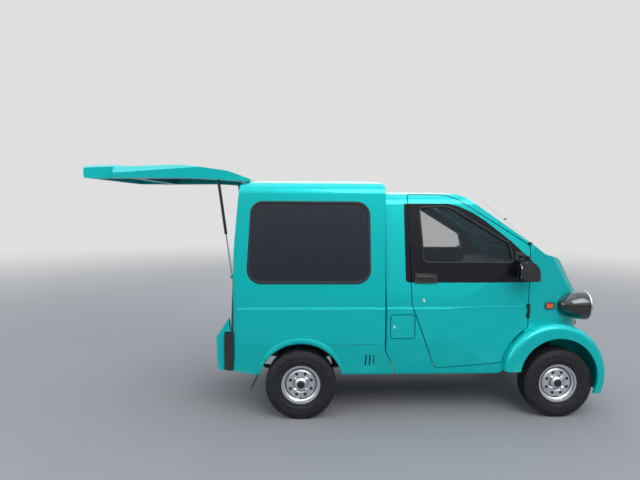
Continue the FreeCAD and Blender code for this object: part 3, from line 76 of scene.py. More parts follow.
class Wire:
    # one output of a node tree; sums written on it add Math nodes
    def __init__(self, maker, socket):
        self.maker = maker
        self.socket = socket

    def sum(self, operation, other=0.0, swapped=False):
        terms = {0: other, 1: self} if swapped else {0: self, 1: other}
        return self.maker.node("ShaderNodeMath", {"operation": operation}, terms)

    def __add__(self, other):
        return self.sum("ADD", other)

    def __radd__(self, other):
        return self.sum("ADD", other, True)

    def __sub__(self, other):
        return self.sum("SUBTRACT", other)

    def __rsub__(self, other):
        return self.sum("SUBTRACT", other, True)

    def __mul__(self, other):
        return self.sum("MULTIPLY", other)

    def __rmul__(self, other):
        return self.sum("MULTIPLY", other, True)

    def __truediv__(self, other):
        return self.sum("DIVIDE", other)

    def least(self, other):
        return self.sum("MINIMUM", other)

    def most(self, other):
        return self.sum("MAXIMUM", other)

    def step(self, low, high):
        # 0 below low and 1 above high, smooth between
        return self.maker.node("ShaderNodeMapRange", {"interpolation_type": "SMOOTHSTEP"},
                               {"Value": self, "From Min": low, "From Max": high,
                                "To Min": 0.0, "To Max": 1.0})


class Maker:
    # builds a shader tree or a geometry tree one node at a time
    def __init__(self, tree):
        self.tree = tree

    def node(self, kind, settings, inputs, output=0):
        made = self.tree.nodes.new(kind)
        for name, value in settings.items():
            if name == "stops":
                ramp = made.color_ramp
                while len(ramp.elements) < len(value):
                    ramp.elements.new(0.5)
                for element, (place, colour) in zip(ramp.elements, value):
                    element.position = place
                    element.color = colour
            else:
                setattr(made, name, value)
        for name, value in inputs.items():
            if isinstance(value, Wire):
                self.tree.links.new(value.socket, made.inputs[name])
            else:
                made.inputs[name].default_value = value
        return Wire(self, made.outputs[output]) if len(made.outputs) else None

    def blend(self, share, first, second):
        # first where share is 0 and second where it is 1; both are colours
        return self.node("ShaderNodeMix", {"data_type": "RGBA"}, {0: share, 6: first, 7: second}, 2)

    def noise(self, scale, detail=2.0, where=None):
        place = where or self.place()
        return self.node("ShaderNodeTexNoise", {}, {"Vector": place, "Scale": scale, "Detail": detail})

    def place(self):
        return self.node("ShaderNodeTexCoord", {}, {}, "Object")

    def axes(self):
        split = self.node("ShaderNodeSeparateXYZ", {}, {"Vector": self.place()})
        return [Wire(self, split.socket.node.outputs[index]) for index in range(3)]

    def bump(self, height, distance, strength=1.0):
        return self.node("ShaderNodeBump", {}, {"Height": height, "Distance": distance, "Strength": strength})


def finish(name, build):
    # a material whose tree is made by build, which gives back the values of a Principled BSDF
    material = bpy.data.materials.new(name)
    material.use_nodes = True
    maker = Maker(material.node_tree)
    maker.tree.nodes.clear()
    surface = maker.node("ShaderNodeBsdfPrincipled", {}, build(maker))
    maker.node("ShaderNodeOutputMaterial", {}, {"Surface": surface})
    return material


def grey(level, alpha=1.0):
    return (level, level, level, alpha)


# Materials
paintLook = {
    "bright": (0.0, 0.530, 0.525, 1.0),
    "deep": (0.0, 0.410, 0.405, 1.0),
    "dust": (0.16, 0.17, 0.15, 1.0),
    "black": (0.006, 0.006, 0.009, 1.0),
    "metallic": 0.42,
}
# black surround of the door window: (x, z) of its convex outline in millimetres, clockwise
surroundOutline = [(-1120, 1526), (-803, 1527), (-733, 1511), (-625, 1463), (-444, 1346), (-355, 1264),
                   (-237, 1172), (-146, 1082), (-134, 1030), (-139, 992), (-158, 974), (-1090, 974),
                   (-1108, 990)]


def insideOutline(maker, corners, soft):
    # 1 inside a convex outline of (x, z) in the side view
    x, y, z = maker.axes()
    inside = None
    for index, (x0, z0) in enumerate(corners):
        x1, z1 = corners[(index + 1) % len(corners)]
        length = math.hypot(x1 - x0, z1 - z0)
        slopeX = (z1 - z0) / length
        slopeZ = -(x1 - x0) / length
        reach = (x0 / 1000 + axlePlace) * slopeX + z0 / 1000 * slopeZ
        depth = reach - (x * slopeX + z * slopeZ)
        inside = depth if inside is None else inside.most(depth)
    return (inside * -1.0).step(-soft, soft)


def paintBody(maker, surround=False):
    x, y, z = maker.axes()
    flake = maker.noise(700.0, 1.0).step(0.42, 0.62)
    colour = maker.blend(flake, paintLook["deep"], paintLook["bright"])
    film = maker.noise(5.0, 4.0).step(0.45, 0.75) * (0.62 - z).step(0.0, 0.34)
    colour = maker.blend(film * 0.10, colour, paintLook["dust"])
    rough = 0.34 + film * 0.2
    metal = paintLook["metallic"] - film * 0.3
    if surround:
        mask = insideOutline(maker, surroundOutline, 0.0012)
        colour = maker.blend(mask, colour, paintLook["black"])
        metal = metal * (1.0 - mask)
        rough = rough * (1.0 - mask) + mask * 0.22
    return {"Base Color": colour, "Metallic": metal, "Roughness": rough, "Coat Weight": 0.50 - film * 0.3,
            "Coat Roughness": 0.04, "Coat IOR": 1.45, "Specular IOR Level": 0.15,
            "Normal": maker.bump(maker.noise(160.0, 2.0), 0.00025, 0.5)}


def plastic(level, rough, grain=0.0002, coat=0.0):
    def build(maker):
        speck = maker.noise(900.0, 2.0)
        wear = maker.noise(18.0, 4.0)
        colour = maker.blend(wear.step(0.4, 0.75), grey(level), grey(level * 1.7 + 0.004))
        return {"Base Color": colour, "Roughness": rough + wear * 0.12, "Coat Weight": coat,
                "Coat Roughness": 0.05, "Normal": maker.bump(speck, grain)}
    return build


def metal(colour, rough, flecks=0.1, brushed=400.0):
    def build(maker):
        mark = maker.noise(brushed, 3.0)
        stain = maker.noise(22.0, 5.0).step(0.52, 0.78)
        dull = tuple(channel * 0.62 for channel in colour[:3]) + (1.0,)
        return {"Base Color": maker.blend(stain * flecks * 3.0, colour, dull), "Metallic": 1.0,
                "Roughness": rough + mark * flecks + stain * flecks, "Normal": maker.bump(mark, 0.0001)}
    return build


def tyreRubber(maker):
    dust = maker.noise(30.0, 5.0).step(0.4, 0.8)
    fine = maker.noise(700.0, 2.0)
    colour = maker.blend(dust, (0.008, 0.008, 0.010, 1.0), (0.020, 0.020, 0.022, 1.0))
    return {"Base Color": colour, "Roughness": 0.62 + dust * 0.18, "Specular IOR Level": 0.35,
            "Normal": maker.bump(fine, 0.0002)}


def lens(colour, alpha, ribs=0.0):
    def build(maker):
        x, y, z = maker.axes()
        wave = (y * ribs).sum("SINE") if ribs else maker.noise(60.0)
        return {"Base Color": colour, "Roughness": 0.06 + maker.noise(120.0) * 0.05, "Alpha": alpha,
                "Coat Weight": 1.0, "Coat Roughness": 0.02, "Normal": maker.bump(wave, 0.0004)}
    return build


def tailLens(maker):
    x, y, z = maker.axes()
    colour = maker.blend(z.step(0.449, 0.450), (0.62, 0.60, 0.56, 1.0), (0.55, 0.008, 0.006, 1.0))
    colour = maker.blend(z.step(0.509, 0.510), colour, (0.75, 0.16, 0.005, 1.0))
    wave = (y * 900.0).sum("SINE") * (z * 900.0).sum("SINE")
    return {"Base Color": colour, "Roughness": 0.12, "Coat Weight": 1.0, "Coat Roughness": 0.03,
            "Normal": maker.bump(wave, 0.0006)}


def fabric(first, second, scale):
    def build(maker):
        x, y, z = maker.axes()
        weave = (x * scale).sum("SINE") * (y * scale).sum("SINE") * (z * scale).sum("SINE")
        cloud = maker.noise(14.0, 4.0)
        colour = maker.blend(weave.step(-0.4, 0.4) * 0.5 + cloud * 0.4, first, second)
        return {"Base Color": colour, "Roughness": 0.88, "Sheen Weight": 0.3, "Sheen Roughness": 0.5,
                "Normal": maker.bump(weave + cloud, 0.0004)}
    return build


def glass(name, tint, dark):
    # a pane that lets part of the light straight through and mirrors more at a slant
    material = bpy.data.materials.new(name)
    material.use_nodes = True
    maker = Maker(material.node_tree)
    maker.tree.nodes.clear()
    smear = maker.noise(7.0, 4.0)
    gloss = maker.node("ShaderNodeBsdfPrincipled", {}, {
        "Base Color": tint, "Roughness": 0.02 + smear * 0.03, "Coat Weight": 1.0, "Coat Roughness": 0.01})
    clear = maker.node("ShaderNodeBsdfTransparent", {}, {"Color": grey(0.93)})
    slant = maker.node("ShaderNodeLayerWeight", {}, {"Blend": 0.35}, "Fresnel")
    share = (slant * (1.0 - dark) + dark).least(1.0) + smear * 0.02
    surface = maker.node("ShaderNodeMixShader", {}, {0: share, 1: clear, 2: gloss})
    maker.node("ShaderNodeOutputMaterial", {}, {"Surface": surface})
    return material


bodyPaint = finish("bodyPaint", paintBody)
cabPaint = finish("cabPaint", lambda maker: paintBody(maker, True))
blackTrim = finish("blackTrim", plastic(0.010, 0.42))
glossTrim = finish("glossTrim", plastic(0.004, 0.12, 0.00004, 1.0))
cabinPlastic = finish("cabinPlastic", plastic(0.045, 0.62, 0.0005))
palePlastic = finish("palePlastic", plastic(0.22, 0.6, 0.0003))
sealRubber = finish("sealRubber", plastic(0.007, 0.55, 0.0002))
frameBlack = finish("frameBlack", plastic(0.014, 0.5, 0.0004))
tyreBlack = finish("tyreBlack", tyreRubber)
rimSilver = finish("rimSilver", metal((0.72, 0.73, 0.75, 1.0), 0.30, 0.10))
chrome = finish("chrome", metal((0.86, 0.87, 0.88, 1.0), 0.06, 0.03))
bareSteel = finish("bareSteel", metal((0.42, 0.42, 0.43, 1.0), 0.40, 0.18))
castAlloy = finish("castAlloy", metal((0.34, 0.34, 0.35, 1.0), 0.55, 0.20, 160.0))
mirrorSilver = finish("mirrorSilver", metal((0.82, 0.84, 0.86, 1.0), 0.03, 0.01))
rodSteel = finish("rodSteel", metal((0.75, 0.76, 0.78, 1.0), 0.12, 0.04))
clearPane = glass("clearPane", (0.10, 0.13, 0.15, 1.0), 0.06)
darkPane = glass("darkPane", (0.006, 0.009, 0.018, 1.0), 0.88)
lampPane = glass("lampPane", (0.55, 0.57, 0.60, 1.0), 0.10)
amberLens = finish("amberLens", lens((0.60, 0.11, 0.012, 1.0), 0.96, 1500.0))
redLens = finish("redLens", tailLens)
seatCloth = finish("seatCloth", fabric((0.020, 0.021, 0.026, 1.0), (0.060, 0.062, 0.072, 1.0), 1400.0))


nodesByFinish = (
    (cabPaint, ("cab_shell", "nose_panel", "door_right", "door_left")),
    (bodyPaint, ("cargo_shell", "front_fenders", "fuel_lid", "tailgate", "front_bumper", "rear_bumper",
                 "floor_pan")),
    (frameBlack, ("chassis_frame", "front_suspension", "rear_axle", "leaf_springs", "fuel_tank",
                  "knuckle_right", "knuckle_left")),
    (blackTrim, ("door_hinges", "corner_strips", "door_trim_right", "door_trim_left")),
    (glossTrim, ("headlamp_pods", "strut_tube_right", "strut_tube_left")),
    (rodSteel, ("strut_rod_right", "strut_rod_left")),
    (bareSteel, ("propeller_shaft", "exhaust")),
    (cabinPlastic, ("dashboard", "steering_column", "steering_wheel")),
    (clearPane, ("windscreen", "door_glass_right", "door_glass_left")),
    (darkPane, ("side_glass", "tailgate_glass")),
    (castAlloy, ("engine_block",)), (sealRubber, ("mud_flaps",)), (lampPane, ("headlamp_lenses",)),
    (amberLens, ("turn_lamps",)), (redLens, ("tail_lamps",)), (seatCloth, ("seats",)),
    (rimSilver, [name for name in nodes if name.startswith("rim_")]),
    (tyreBlack, [name for name in nodes if name.startswith("tyre_")]),
)
for material, names in nodesByFinish:
    for name in names:
        nodes[name].data.materials.clear()
        nodes[name].data.materials.append(material)
print("materials ready")


def newPiece(name, mesh, material, body, slot):
    # a finished mesh becomes a piece on its body, with its finish
    mesh.name = name
    if material is not None:
        mesh.materials.clear()
        mesh.materials.append(material)
    piece = bpy.data.objects.new(name, mesh)
    bpy.context.scene.collection.objects.link(piece)
    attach(piece, body)
    return piece


def meshOf(points, faces, smooth=True):
    mesh = bpy.data.meshes.new("made")
    mesh.from_pydata(points, [], faces)
    if smooth:
        mesh.shade_smooth()
    return mesh


def outwards(mesh):
    # turns all faces outwards
    work = bmesh.new()
    work.from_mesh(mesh)
    bmesh.ops.recalc_face_normals(work, faces=work.faces)
    work.to_mesh(mesh)
    work.free()
    return mesh


def mirroredMesh(mesh):
    # the left-hand twin of a right-hand mesh
    twin = mesh.copy()
    twin.transform(Matrix.Scale(-1, 4, (0, 1, 0)))
    twin.flip_normals()
    return twin


def pair(name, mesh, material, body, slot):
    # the same piece on both sides; "SIDE" in a body's name becomes right or left
    made = [newPiece(name + "_right", mesh, material, body.replace("SIDE", "right"), slot)]
    made.append(newPiece(name + "_left", mirroredMesh(mesh), material, body.replace("SIDE", "left"), slot))
    return made


def joinedMesh(meshes):
    work = bmesh.new()
    for mesh in meshes:
        work.from_mesh(mesh)
    whole = bpy.data.meshes.new("joined")
    work.to_mesh(whole)
    work.free()
    return whole


def lathe(profile, segments, closed=True):
    # spins a profile of (radius, along) about the Y axis; radii of 0 become one point
    points = []
    rings = []
    for radius, along in profile:
        if radius == 0:
            rings.append([len(points)] * segments)
            points.append((0.0, along, 0.0))
            continue
        ring = []
        for step in range(segments):
            angle = 2 * math.pi * step / segments
            ring.append(len(points))
            points.append((radius * math.cos(angle), along, radius * math.sin(angle)))
        rings.append(ring)
    faces = []
    count = len(rings)
    for index in range(count if closed else count - 1):
        first = rings[index]
        second = rings[(index + 1) % count]
        for step in range(segments):
            after = (step + 1) % segments
            corners = [first[step], first[after], second[after], second[step]]
            kept = [corner for place, corner in enumerate(corners) if corner not in corners[:place]]
            if len(kept) > 2:
                faces.append(kept)
    mesh = meshOf(points, faces)
    return outwards(mesh)


def bevelled(mesh, width, segments=2, angle=30.0):
    # rounds the edges that are sharper than angle
    work = bmesh.new()
    work.from_mesh(mesh)
    limit = math.radians(angle)
    sharp = [edge for edge in work.edges if len(edge.link_faces) == 2 and edge.calc_face_angle() > limit]
    bmesh.ops.bevel(work, geom=sharp, offset=width, segments=segments, profile=0.5, affect="EDGES",
                    clamp_overlap=True)
    work.to_mesh(mesh)
    work.free()
    mesh.shade_smooth()
    return mesh


def roundedLine(corners, step=0.03, arcSteps=6, closed=True):
    # points along an outline of (u, v, corner radius) in millimetres, with rounded corners
    points = []
    count = len(corners)
    for index in range(count):
        u, v, radius = corners[index]
        here = Vector((u, v))
        towards = (Vector(corners[index - 1][:2]) - here).normalized()
        onwards = (Vector(corners[(index + 1) % count][:2]) - here).normalized()
        half = towards.angle(onwards) / 2
        if radius <= 0 or half > 1.56:
            points.append(here)
            continue
        centre = here + (towards + onwards).normalized() * (radius / math.sin(half))
        start = here + towards * (radius / math.tan(half))
        stop = here + onwards * (radius / math.tan(half))
        for part in range(arcSteps + 1):
            share = part / arcSteps
            spoke = ((start - centre) * (1 - share) + (stop - centre) * share).normalized() * radius
            points.append(centre + spoke)
    dense = []
    for index, here in enumerate(points):
        if not closed and index == len(points) - 1:
            dense.append(here)
            break
        after = points[(index + 1) % len(points)]
        parts = max(1, round((after - here).length / (step * 1000)))
        for part in range(parts):
            dense.append(here.lerp(after, part / parts))
    return dense


def surfaceOf(*names, turn=None):
    # a tree for rays on the shown faces of some nodes, turned first if a pose is needed
    work = bmesh.new()
    for name in names:
        work.from_mesh(nodes[name].data)
    if turn is not None:
        work.transform(turn)
        work.normal_update()
    tree = BVHTree.FromBMesh(work)
    work.free()
    return tree


def groundPoint(tree, start, direction, missing=None):
    place, normal, index, far = tree.ray_cast(start, direction)
    return (place, normal) if place is not None else (missing, -direction)


def growTree(name, values, build):
    # a geometry tree that takes a mesh, some values and a finish, and gives plain faces
    tree = bpy.data.node_groups.new(name, "GeometryNodeTree")
    for title, kind in (("Geometry", "Geometry"), *values, ("Finish", "Material")):
        tree.interface.new_socket(title, in_out="INPUT", socket_type="NodeSocket" + kind)
    tree.interface.new_socket("Geometry", in_out="OUTPUT", socket_type="NodeSocketGeometry")
    maker = Maker(tree)
    start = tree.nodes.new("NodeGroupInput")
    wires = [Wire(maker, start.outputs[index]) for index in range(len(values) + 2)]
    made = build(maker, *wires[:-1])
    real = maker.node("GeometryNodeRealizeInstances", {}, {"Geometry": made})
    done = maker.node("GeometryNodeSetMaterial", {}, {"Geometry": real, "Material": wires[-1]})
    end = tree.nodes.new("NodeGroupOutput")
    tree.links.new(done.socket, end.inputs[0])
    return tree


def beadFaces(maker, line, width, height, sides):
    # a profile carried along a line of points that each know which way is up
    up = maker.node("GeometryNodeInputNamedAttribute", {"data_type": "FLOAT_VECTOR"}, {"Name": "up"})
    curve = maker.node("GeometryNodeMeshToCurve", {}, {"Mesh": line})
    curve = maker.node("GeometryNodeSetCurveNormal", {"mode": "FREE"}, {"Curve": curve, "Normal": up})
    circle = maker.node("GeometryNodeCurvePrimitiveCircle", {"mode": "RADIUS"},
                        {"Resolution": sides, "Radius": 0.5})
    size = maker.node("ShaderNodeCombineXYZ", {}, {"X": height, "Y": width, "Z": 1.0})
    profile = maker.node("GeometryNodeTransform", {}, {"Geometry": circle, "Scale": size})
    swept = maker.node("GeometryNodeCurveToMesh", {},
                       {"Curve": curve, "Profile Curve": profile, "Fill Caps": True})
    return maker.node("GeometryNodeSetShadeSmooth", {}, {"Geometry": swept, "Shade Smooth": True})


def ringFaces(maker, shape, count, first):
    # copies of a shape set round the Y axis
    spots = maker.node("GeometryNodePoints", {}, {"Count": count, "Position": (0.0, 0.0, 0.0)})
    index = maker.node("GeometryNodeInputIndex", {}, {})
    angle = index * (2 * math.pi) / count + first
    turn = maker.node("FunctionNodeAxisAngleToRotation", {}, {"Axis": (0.0, 1.0, 0.0), "Angle": angle})
    return maker.node("GeometryNodeInstanceOnPoints", {},
                      {"Points": spots, "Instance": shape, "Rotation": turn})


growTrees = {
    "bead": growTree("bead", (("Width", "Float"), ("Height", "Float"), ("Sides", "Int")), beadFaces),
    "ring": growTree("ring", (("Count", "Int"), ("Start", "Float")), ringFaces),
}


def grown(kind, mesh, values):
    # runs one of the trees on a mesh and gives back the result as a plain mesh
    tree = growTrees[kind]
    holder = bpy.data.objects.new("holder", mesh)
    bpy.context.scene.collection.objects.link(holder)
    modifier = holder.modifiers.new("grow", "NODES")
    modifier.node_group = tree
    for item in tree.interface.items_tree:
        if item.in_out == "INPUT" and item.name in values:
            modifier[item.identifier] = values[item.name]
    ready = holder.evaluated_get(bpy.context.evaluated_depsgraph_get())
    result = bpy.data.meshes.new_from_object(ready)
    bpy.data.objects.remove(holder)
    return result


def bead(points, ups, width, height, material, sides=10, closed=True):
    count = len(points)
    edges = [(index, (index + 1) % count) for index in range(count if closed else count - 1)]
    mesh = bpy.data.meshes.new("line")
    mesh.from_pydata([tuple(point) for point in points], edges, [])
    attribute = mesh.attributes.new("up", "FLOAT_VECTOR", "POINT")
    for index, up in enumerate(ups):
        attribute.data[index].vector = up
    return grown("bead", mesh, {"Width": width, "Height": height, "Sides": sides, "Finish": material})


def ring(mesh, count, start, material):
    return grown("ring", mesh, {"Count": count, "Start": start, "Finish": material})


def middleOf(corners):
    return sum((Vector(corner[:2]) for corner in corners), Vector((0, 0))) / len(corners)


def probes(corners, out, step):
    # each point of a closed outline, with a second point that far outside it
    flat = roundedLine(corners, step)
    centre = middleOf(corners)
    for index, here in enumerate(flat):
        run = (flat[(index + 1) % len(flat)] - flat[index - 1]).normalized()
        side = Vector((run.y, -run.x))
        if side.dot(here - centre) < 0:
            side = -side
        yield here, here + side * out * 1000


def strip(points, ups, look, material, sides=10, closed=True):
    # a bead whose width and height stand in the dictionary of its piece
    return bead(points, ups, look["width"], look["height"], material, sides, closed)


def sideLine(corners, tree, out=0.008, lift=0.0, step=0.03):
    # lays an outline of the side view on the right side of the body
    points = []
    ups = []
    for here, probe in probes(corners, out, step):
        start = at(probe.x, -900.0, probe.y)
        place, up = groundPoint(tree, start, Vector((0, 1, 0)), start + Vector((0, 0.3, 0)))
        spot = at(here.x, 0, here.y)
        spot.y = place.y
        points.append(spot + up * lift)
        ups.append(up)
    return points, ups


# Wheels: tyres with tread blocks, hub caps, nuts and valves
wheelLook = {
    "segments": 128,
    "nutCircle": 0.0535, "nutRadius": 0.0092, "nutLong": 0.018, "nuts": 4, "nutFoot": 0.034,
    "nutFlange": 0.0115, "nutTop": 0.00644,
    "blocks": 58, "treadFoot": 0.2405, "treadTop": 0.2480, "blockTaper": 0.0008, "shoulderDrop": 0.0022,
    "shoulderFrom": 0.055, "holeShadeThick": 0.0006, "grooveShadeThick": 0.0008,
    "airHoles": 8, "airCircle": 0.079, "airRadius": 0.0118, "airFace": 0.0399,
    "grooveInner": 0.1045, "grooveOuter": 0.1125, "grooveFace": 0.0299,
    "cap": [(0.0, 0.0610), (0.016, 0.0606), (0.024, 0.0594), (0.0275, 0.0572), (0.0285, 0.0545),
            (0.0285, 0.050), (0.0, 0.050)],
    "valve": [(0.0, 0.030), (0.0028, 0.030), (0.0028, 0.008), (0.0045, 0.006), (0.0045, 0.0), (0.0, 0.0)],
    "valvePlace": (0.0, 0.030, -0.1005),
}
# (radius, offset outwards) of the casing, without the tread
casingHalf = [(0.134, 0.050), (0.138, 0.058), (0.144, 0.0625), (0.147, 0.0632), (0.150, 0.0625),
              (0.158, 0.0665), (0.170, 0.0712), (0.1735, 0.0718), (0.176, 0.0713), (0.190, 0.0722),
              (0.203, 0.0722), (0.2055, 0.0728), (0.208, 0.0722), (0.220, 0.0700), (0.2285, 0.0672),
              (0.232, 0.0652), (0.2345, 0.0655), (0.241, 0.0600), (0.2425, 0.050)]
# tread rows of (inner edge, outer edge, share of the pitch that the block fills, slant)
treadRows = [(-0.060, -0.0385, 0.74, 0.10), (-0.0335, -0.0145, 0.80, -0.22), (-0.0100, 0.0100, 0.84, 0.22),
             (0.0145, 0.0335, 0.80, -0.22), (0.0385, 0.060, 0.74, 0.10)]


def casingMesh():
    inner = [(0.132, 0.046), (0.132, -0.046)]
    profile = [(radius, along) for radius, along in casingHalf]
    profile += [(0.2425, 0.036), (0.2425, -0.036)]
    profile += [(radius, -along) for radius, along in reversed(casingHalf)]
    return lathe(profile + inner[::-1], wheelLook["segments"])


def treadBlock(low, high, share, slant):
    pitch = 2 * math.pi / wheelLook["blocks"]
    top = wheelLook["treadTop"]
    points = []
    for radius, inset in ((wheelLook["treadFoot"], 0.0), (top, wheelLook["blockTaper"])):
        for across, way in ((low + inset, -1), (high - inset, 1)):
            outer = abs(across) > wheelLook["shoulderFrom"] and radius == top
            drop = wheelLook["shoulderDrop"] if outer else 0.0
            for end in (-1, 1):
                angle = end * way * pitch * share / 2 + slant * (across - low) * 10 * pitch
                reach = radius - drop
                points.append((reach * math.cos(angle), across, reach * math.sin(angle)))
    faces = [(0, 1, 2, 3), (7, 6, 5, 4), (0, 4, 5, 1), (1, 5, 6, 2), (2, 6, 7, 3), (3, 7, 4, 0)]
    return outwards(meshOf(points, faces, False))


treadMesh = joinedMesh([treadBlock(*line) for line in treadRows])
tyreMesh = joinedMesh([casingMesh(), ring(treadMesh, wheelLook["blocks"], 0.0, tyreBlack)])
nutFlange = wheelLook["nutFlange"]
nutRadius = wheelLook["nutRadius"]
nutLong = wheelLook["nutLong"]
nutMesh = lathe([(0.0, 0.0), (nutFlange, 0.0), (nutFlange, 0.002), (nutRadius, 0.003),
                 (nutRadius, nutLong - 0.002), (wheelLook["nutTop"], nutLong), (0.0, nutLong)], 6, False)
nutMesh.shade_flat()
nutMesh.transform(Matrix.Translation((wheelLook["nutCircle"], wheelLook["nutFoot"], 0.0)))
capMesh = lathe(wheelLook["cap"], 48, False)
# painted shade: black discs over the air holes and a black ring in the channel between the disc and the rim
# stand for the shadow inside them
airRadius = wheelLook["airRadius"]
holeShadeThick = wheelLook["holeShadeThick"]
holeShadeMesh = lathe([(0.0, 0.0), (airRadius, 0.0), (airRadius, holeShadeThick), (0.0, holeShadeThick)], 24, False)
holeShadeMesh.transform(Matrix.Translation((wheelLook["airCircle"], wheelLook["airFace"], 0.0)))
grooveFace = wheelLook["grooveFace"]
grooveTop = grooveFace + wheelLook["grooveShadeThick"]
grooveShadeMesh = lathe([(wheelLook["grooveInner"], grooveFace), (wheelLook["grooveOuter"], grooveFace),
                     (wheelLook["grooveOuter"], grooveTop), (wheelLook["grooveInner"], grooveTop)], 96)
airTurn = math.pi / wheelLook["airHoles"]
paintedShadeMesh = joinedMesh([ring(holeShadeMesh, wheelLook["airHoles"], airTurn, blackTrim), grooveShadeMesh])
valveMesh = lathe(wheelLook["valve"], 16, False)
valveMesh.transform(Matrix.Translation(wheelLook["valvePlace"]))
nutsMesh = ring(nutMesh, wheelLook["nuts"], math.pi / wheelLook["nuts"], chrome)
wheelPieces = (("tyre", tyreMesh, tyreBlack, "tyre"), ("hubCap", capMesh, blackTrim, "black_plastic"),
               ("valve", valveMesh, sealRubber, "rubber"),
               # black discs and ring of painted shade in the air holes and the channel
               ("wheelDarks", paintedShadeMesh, blackTrim, "black_plastic"),
               ("wheelNuts", nutsMesh, chrome, "chrome"))
for end, centreX in (("front", axlePlace), ("rear", axlePlace - wheelbase)):
    for sign, side in bothSides:
        wheelBody = "wheel_" + end + "_" + side
        placed = Matrix.Translation((centreX, sign * wheelTrack, hubHeight))
        for name, mesh, material, slot in wheelPieces:
            shown = mesh.copy() if sign > 0 else mirroredMesh(mesh)
            shown.transform(placed)
            piece = newPiece(name + "_" + end + "_" + side, shown, material, wheelBody, slot)
            if name == "tyre":
                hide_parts("tyre_" + end + "_" + side)
print("wheels ready")

# Rubber seals round the windows
sideBody = surfaceOf("cab_shell", "cargo_shell", "door_right", "nose_panel")
boxWindow = [(-2212.0, 975.0, 90.0), (-2178.0, 1529.0, 75.0), (-1372.0, 1529.0, 85.0), (-1362.0, 975.0, 90.0)]
doorWindow = [(-978.0, 1115.0, 28.0), (-1012.0, 1500.0, 26.0), (-800.0, 1510.0, 200.0),
              (-372.0, 1252.0, 40.0), (-334.0, 1115.0, 22.0)]
boxSeal = {"width": 0.020, "height": 0.009}
doorSeal = {"width": 0.013, "height": 0.007}
points, ups = sideLine(boxWindow, sideBody, 0.010, -0.0005)
pair("boxWindowSeal", strip(points, ups, boxSeal, sealRubber), sealRubber, "car", "rubber")
points, ups = sideLine(doorWindow, sideBody, 0.010, -0.0005)
pair("doorWindowSeal", strip(points, ups, doorSeal, sealRubber), sealRubber, "door_SIDE", "rubber")
print("seals ready")


def topLine(corners, tree, out=0.008, lift=0.0, step=0.03):
    # lays an outline of the plan view on what lies below it
    points = []
    ups = []
    for here, probe in probes(corners, out, step):
        start = at(probe.x, probe.y, 2500.0)
        place, up = groundPoint(tree, start, Vector((0, 0, -1)), start - Vector((0, 0, 1)))
        spot = at(here.x, here.y, 0.0)
        spot.z = place.z
        points.append(spot + up * lift)
        ups.append(up)
    return points, ups


def backLine(corners, tree, out=0.0, lift=0.0, step=0.03, closed=True):
    # lays an outline of (y, z) on the car's back, or on the tailgate while it is shut
    centre = middleOf(corners)
    points = []
    ups = []
    for here in roundedLine(corners, step, closed=closed):
        probe = here + (here - centre).normalized() * out * 1000
        start = at(-3000.0, probe.x, probe.y)
        place, up = groundPoint(tree, start, Vector((1, 0, 0)), start)
        points.append(Vector((place.x, here.x / 1000, here.y / 1000)) + up * lift)
        ups.append(up)
    return points, ups


def slab(corners, place, thick, rounding, step=0.02):
    # a rounded plate: an outline of (u, v, radius) set by place, thickened along its third value
    flat = roundedLine(corners, step)
    count = len(flat)
    points = [place(point.x, point.y, depth) for depth in (0.0, thick) for point in flat]
    faces = [tuple(range(count)), tuple(range(count, 2 * count))]
    for index in range(count):
        after = (index + 1) % count
        faces.append((index, after, count + after, count + index))
    mesh = outwards(meshOf(points, faces, False))
    return bevelled(mesh, rounding, 2, 40.0)


def turnedMesh(mesh, matrix):
    mesh.transform(matrix)
    return mesh


def facing(profile, place, segments=24, closed=False):
    # a turned piece that points out of the right side, with its foot at place
    mesh = lathe(profile, segments, closed)
    mesh.transform(Matrix.Scale(-1, 4, (0, 1, 0)))
    mesh.flip_normals()
    return turnedMesh(mesh, Matrix.Translation(place))


def onSide(x, z, tree, inside=0.0):
    # the place on the right side at a point of the side view
    place, up = groundPoint(tree, at(x, -900.0, z), Vector((0, 1, 0)), at(x, -600.0, z))
    return place + Vector((0, inside, 0))


# Seals of the windscreen, the tailgate and its opening
screenLook = {"plan": [(-700, -455, 60), (-118, -505, 70), (-118, 505, 70), (-700, 455, 60)],
              "width": 0.024, "height": 0.009}
topBody = surfaceOf("cab_shell", "nose_panel")
points, ups = topLine(screenLook["plan"], topBody, 0.012, 0.0005)
newPiece("windscreenSeal", strip(points, ups, screenLook, sealRubber), sealRubber, "car", "rubber")

gateLook = {"window": [(-452, 880, 70), (-430, 1545, 70), (430, 1545, 70), (452, 880, 70)],
            "width": 0.026, "height": 0.008, "lift": -0.0025}
hinge = Vector((gateHinge[0], 0.0, gateHinge[1]))
shutGate = Matrix.Translation(hinge) @ Matrix.Rotation(gateSwing, 4, (0, -1, 0)) @ Matrix.Translation(-hinge)
openGate = shutGate.inverted()
gateBack = surfaceOf("tailgate", "tailgate_glass", turn=shutGate)
points, ups = backLine(gateLook["window"], gateBack, 0.014, gateLook["lift"])
newPiece("tailgateWindowSeal", turnedMesh(strip(points, ups, gateLook, sealRubber), openGate), sealRubber,
         "tailgate", "rubber")

weatherLook = {"line": [(-590, 372, 0), (-590, 830, 300), (-545, 1630, 70), (545, 1630, 70), (590, 830, 300),
                        (590, 372, 0)],
               "width": 0.034, "height": 0.009}
boxBack = surfaceOf("cargo_shell")
points, ups = backLine(weatherLook["line"], boxBack, closed=False)
newPiece("weatherStrip", strip(points, ups, weatherLook, sealRubber, closed=False), sealRubber, "car",
         "rubber")

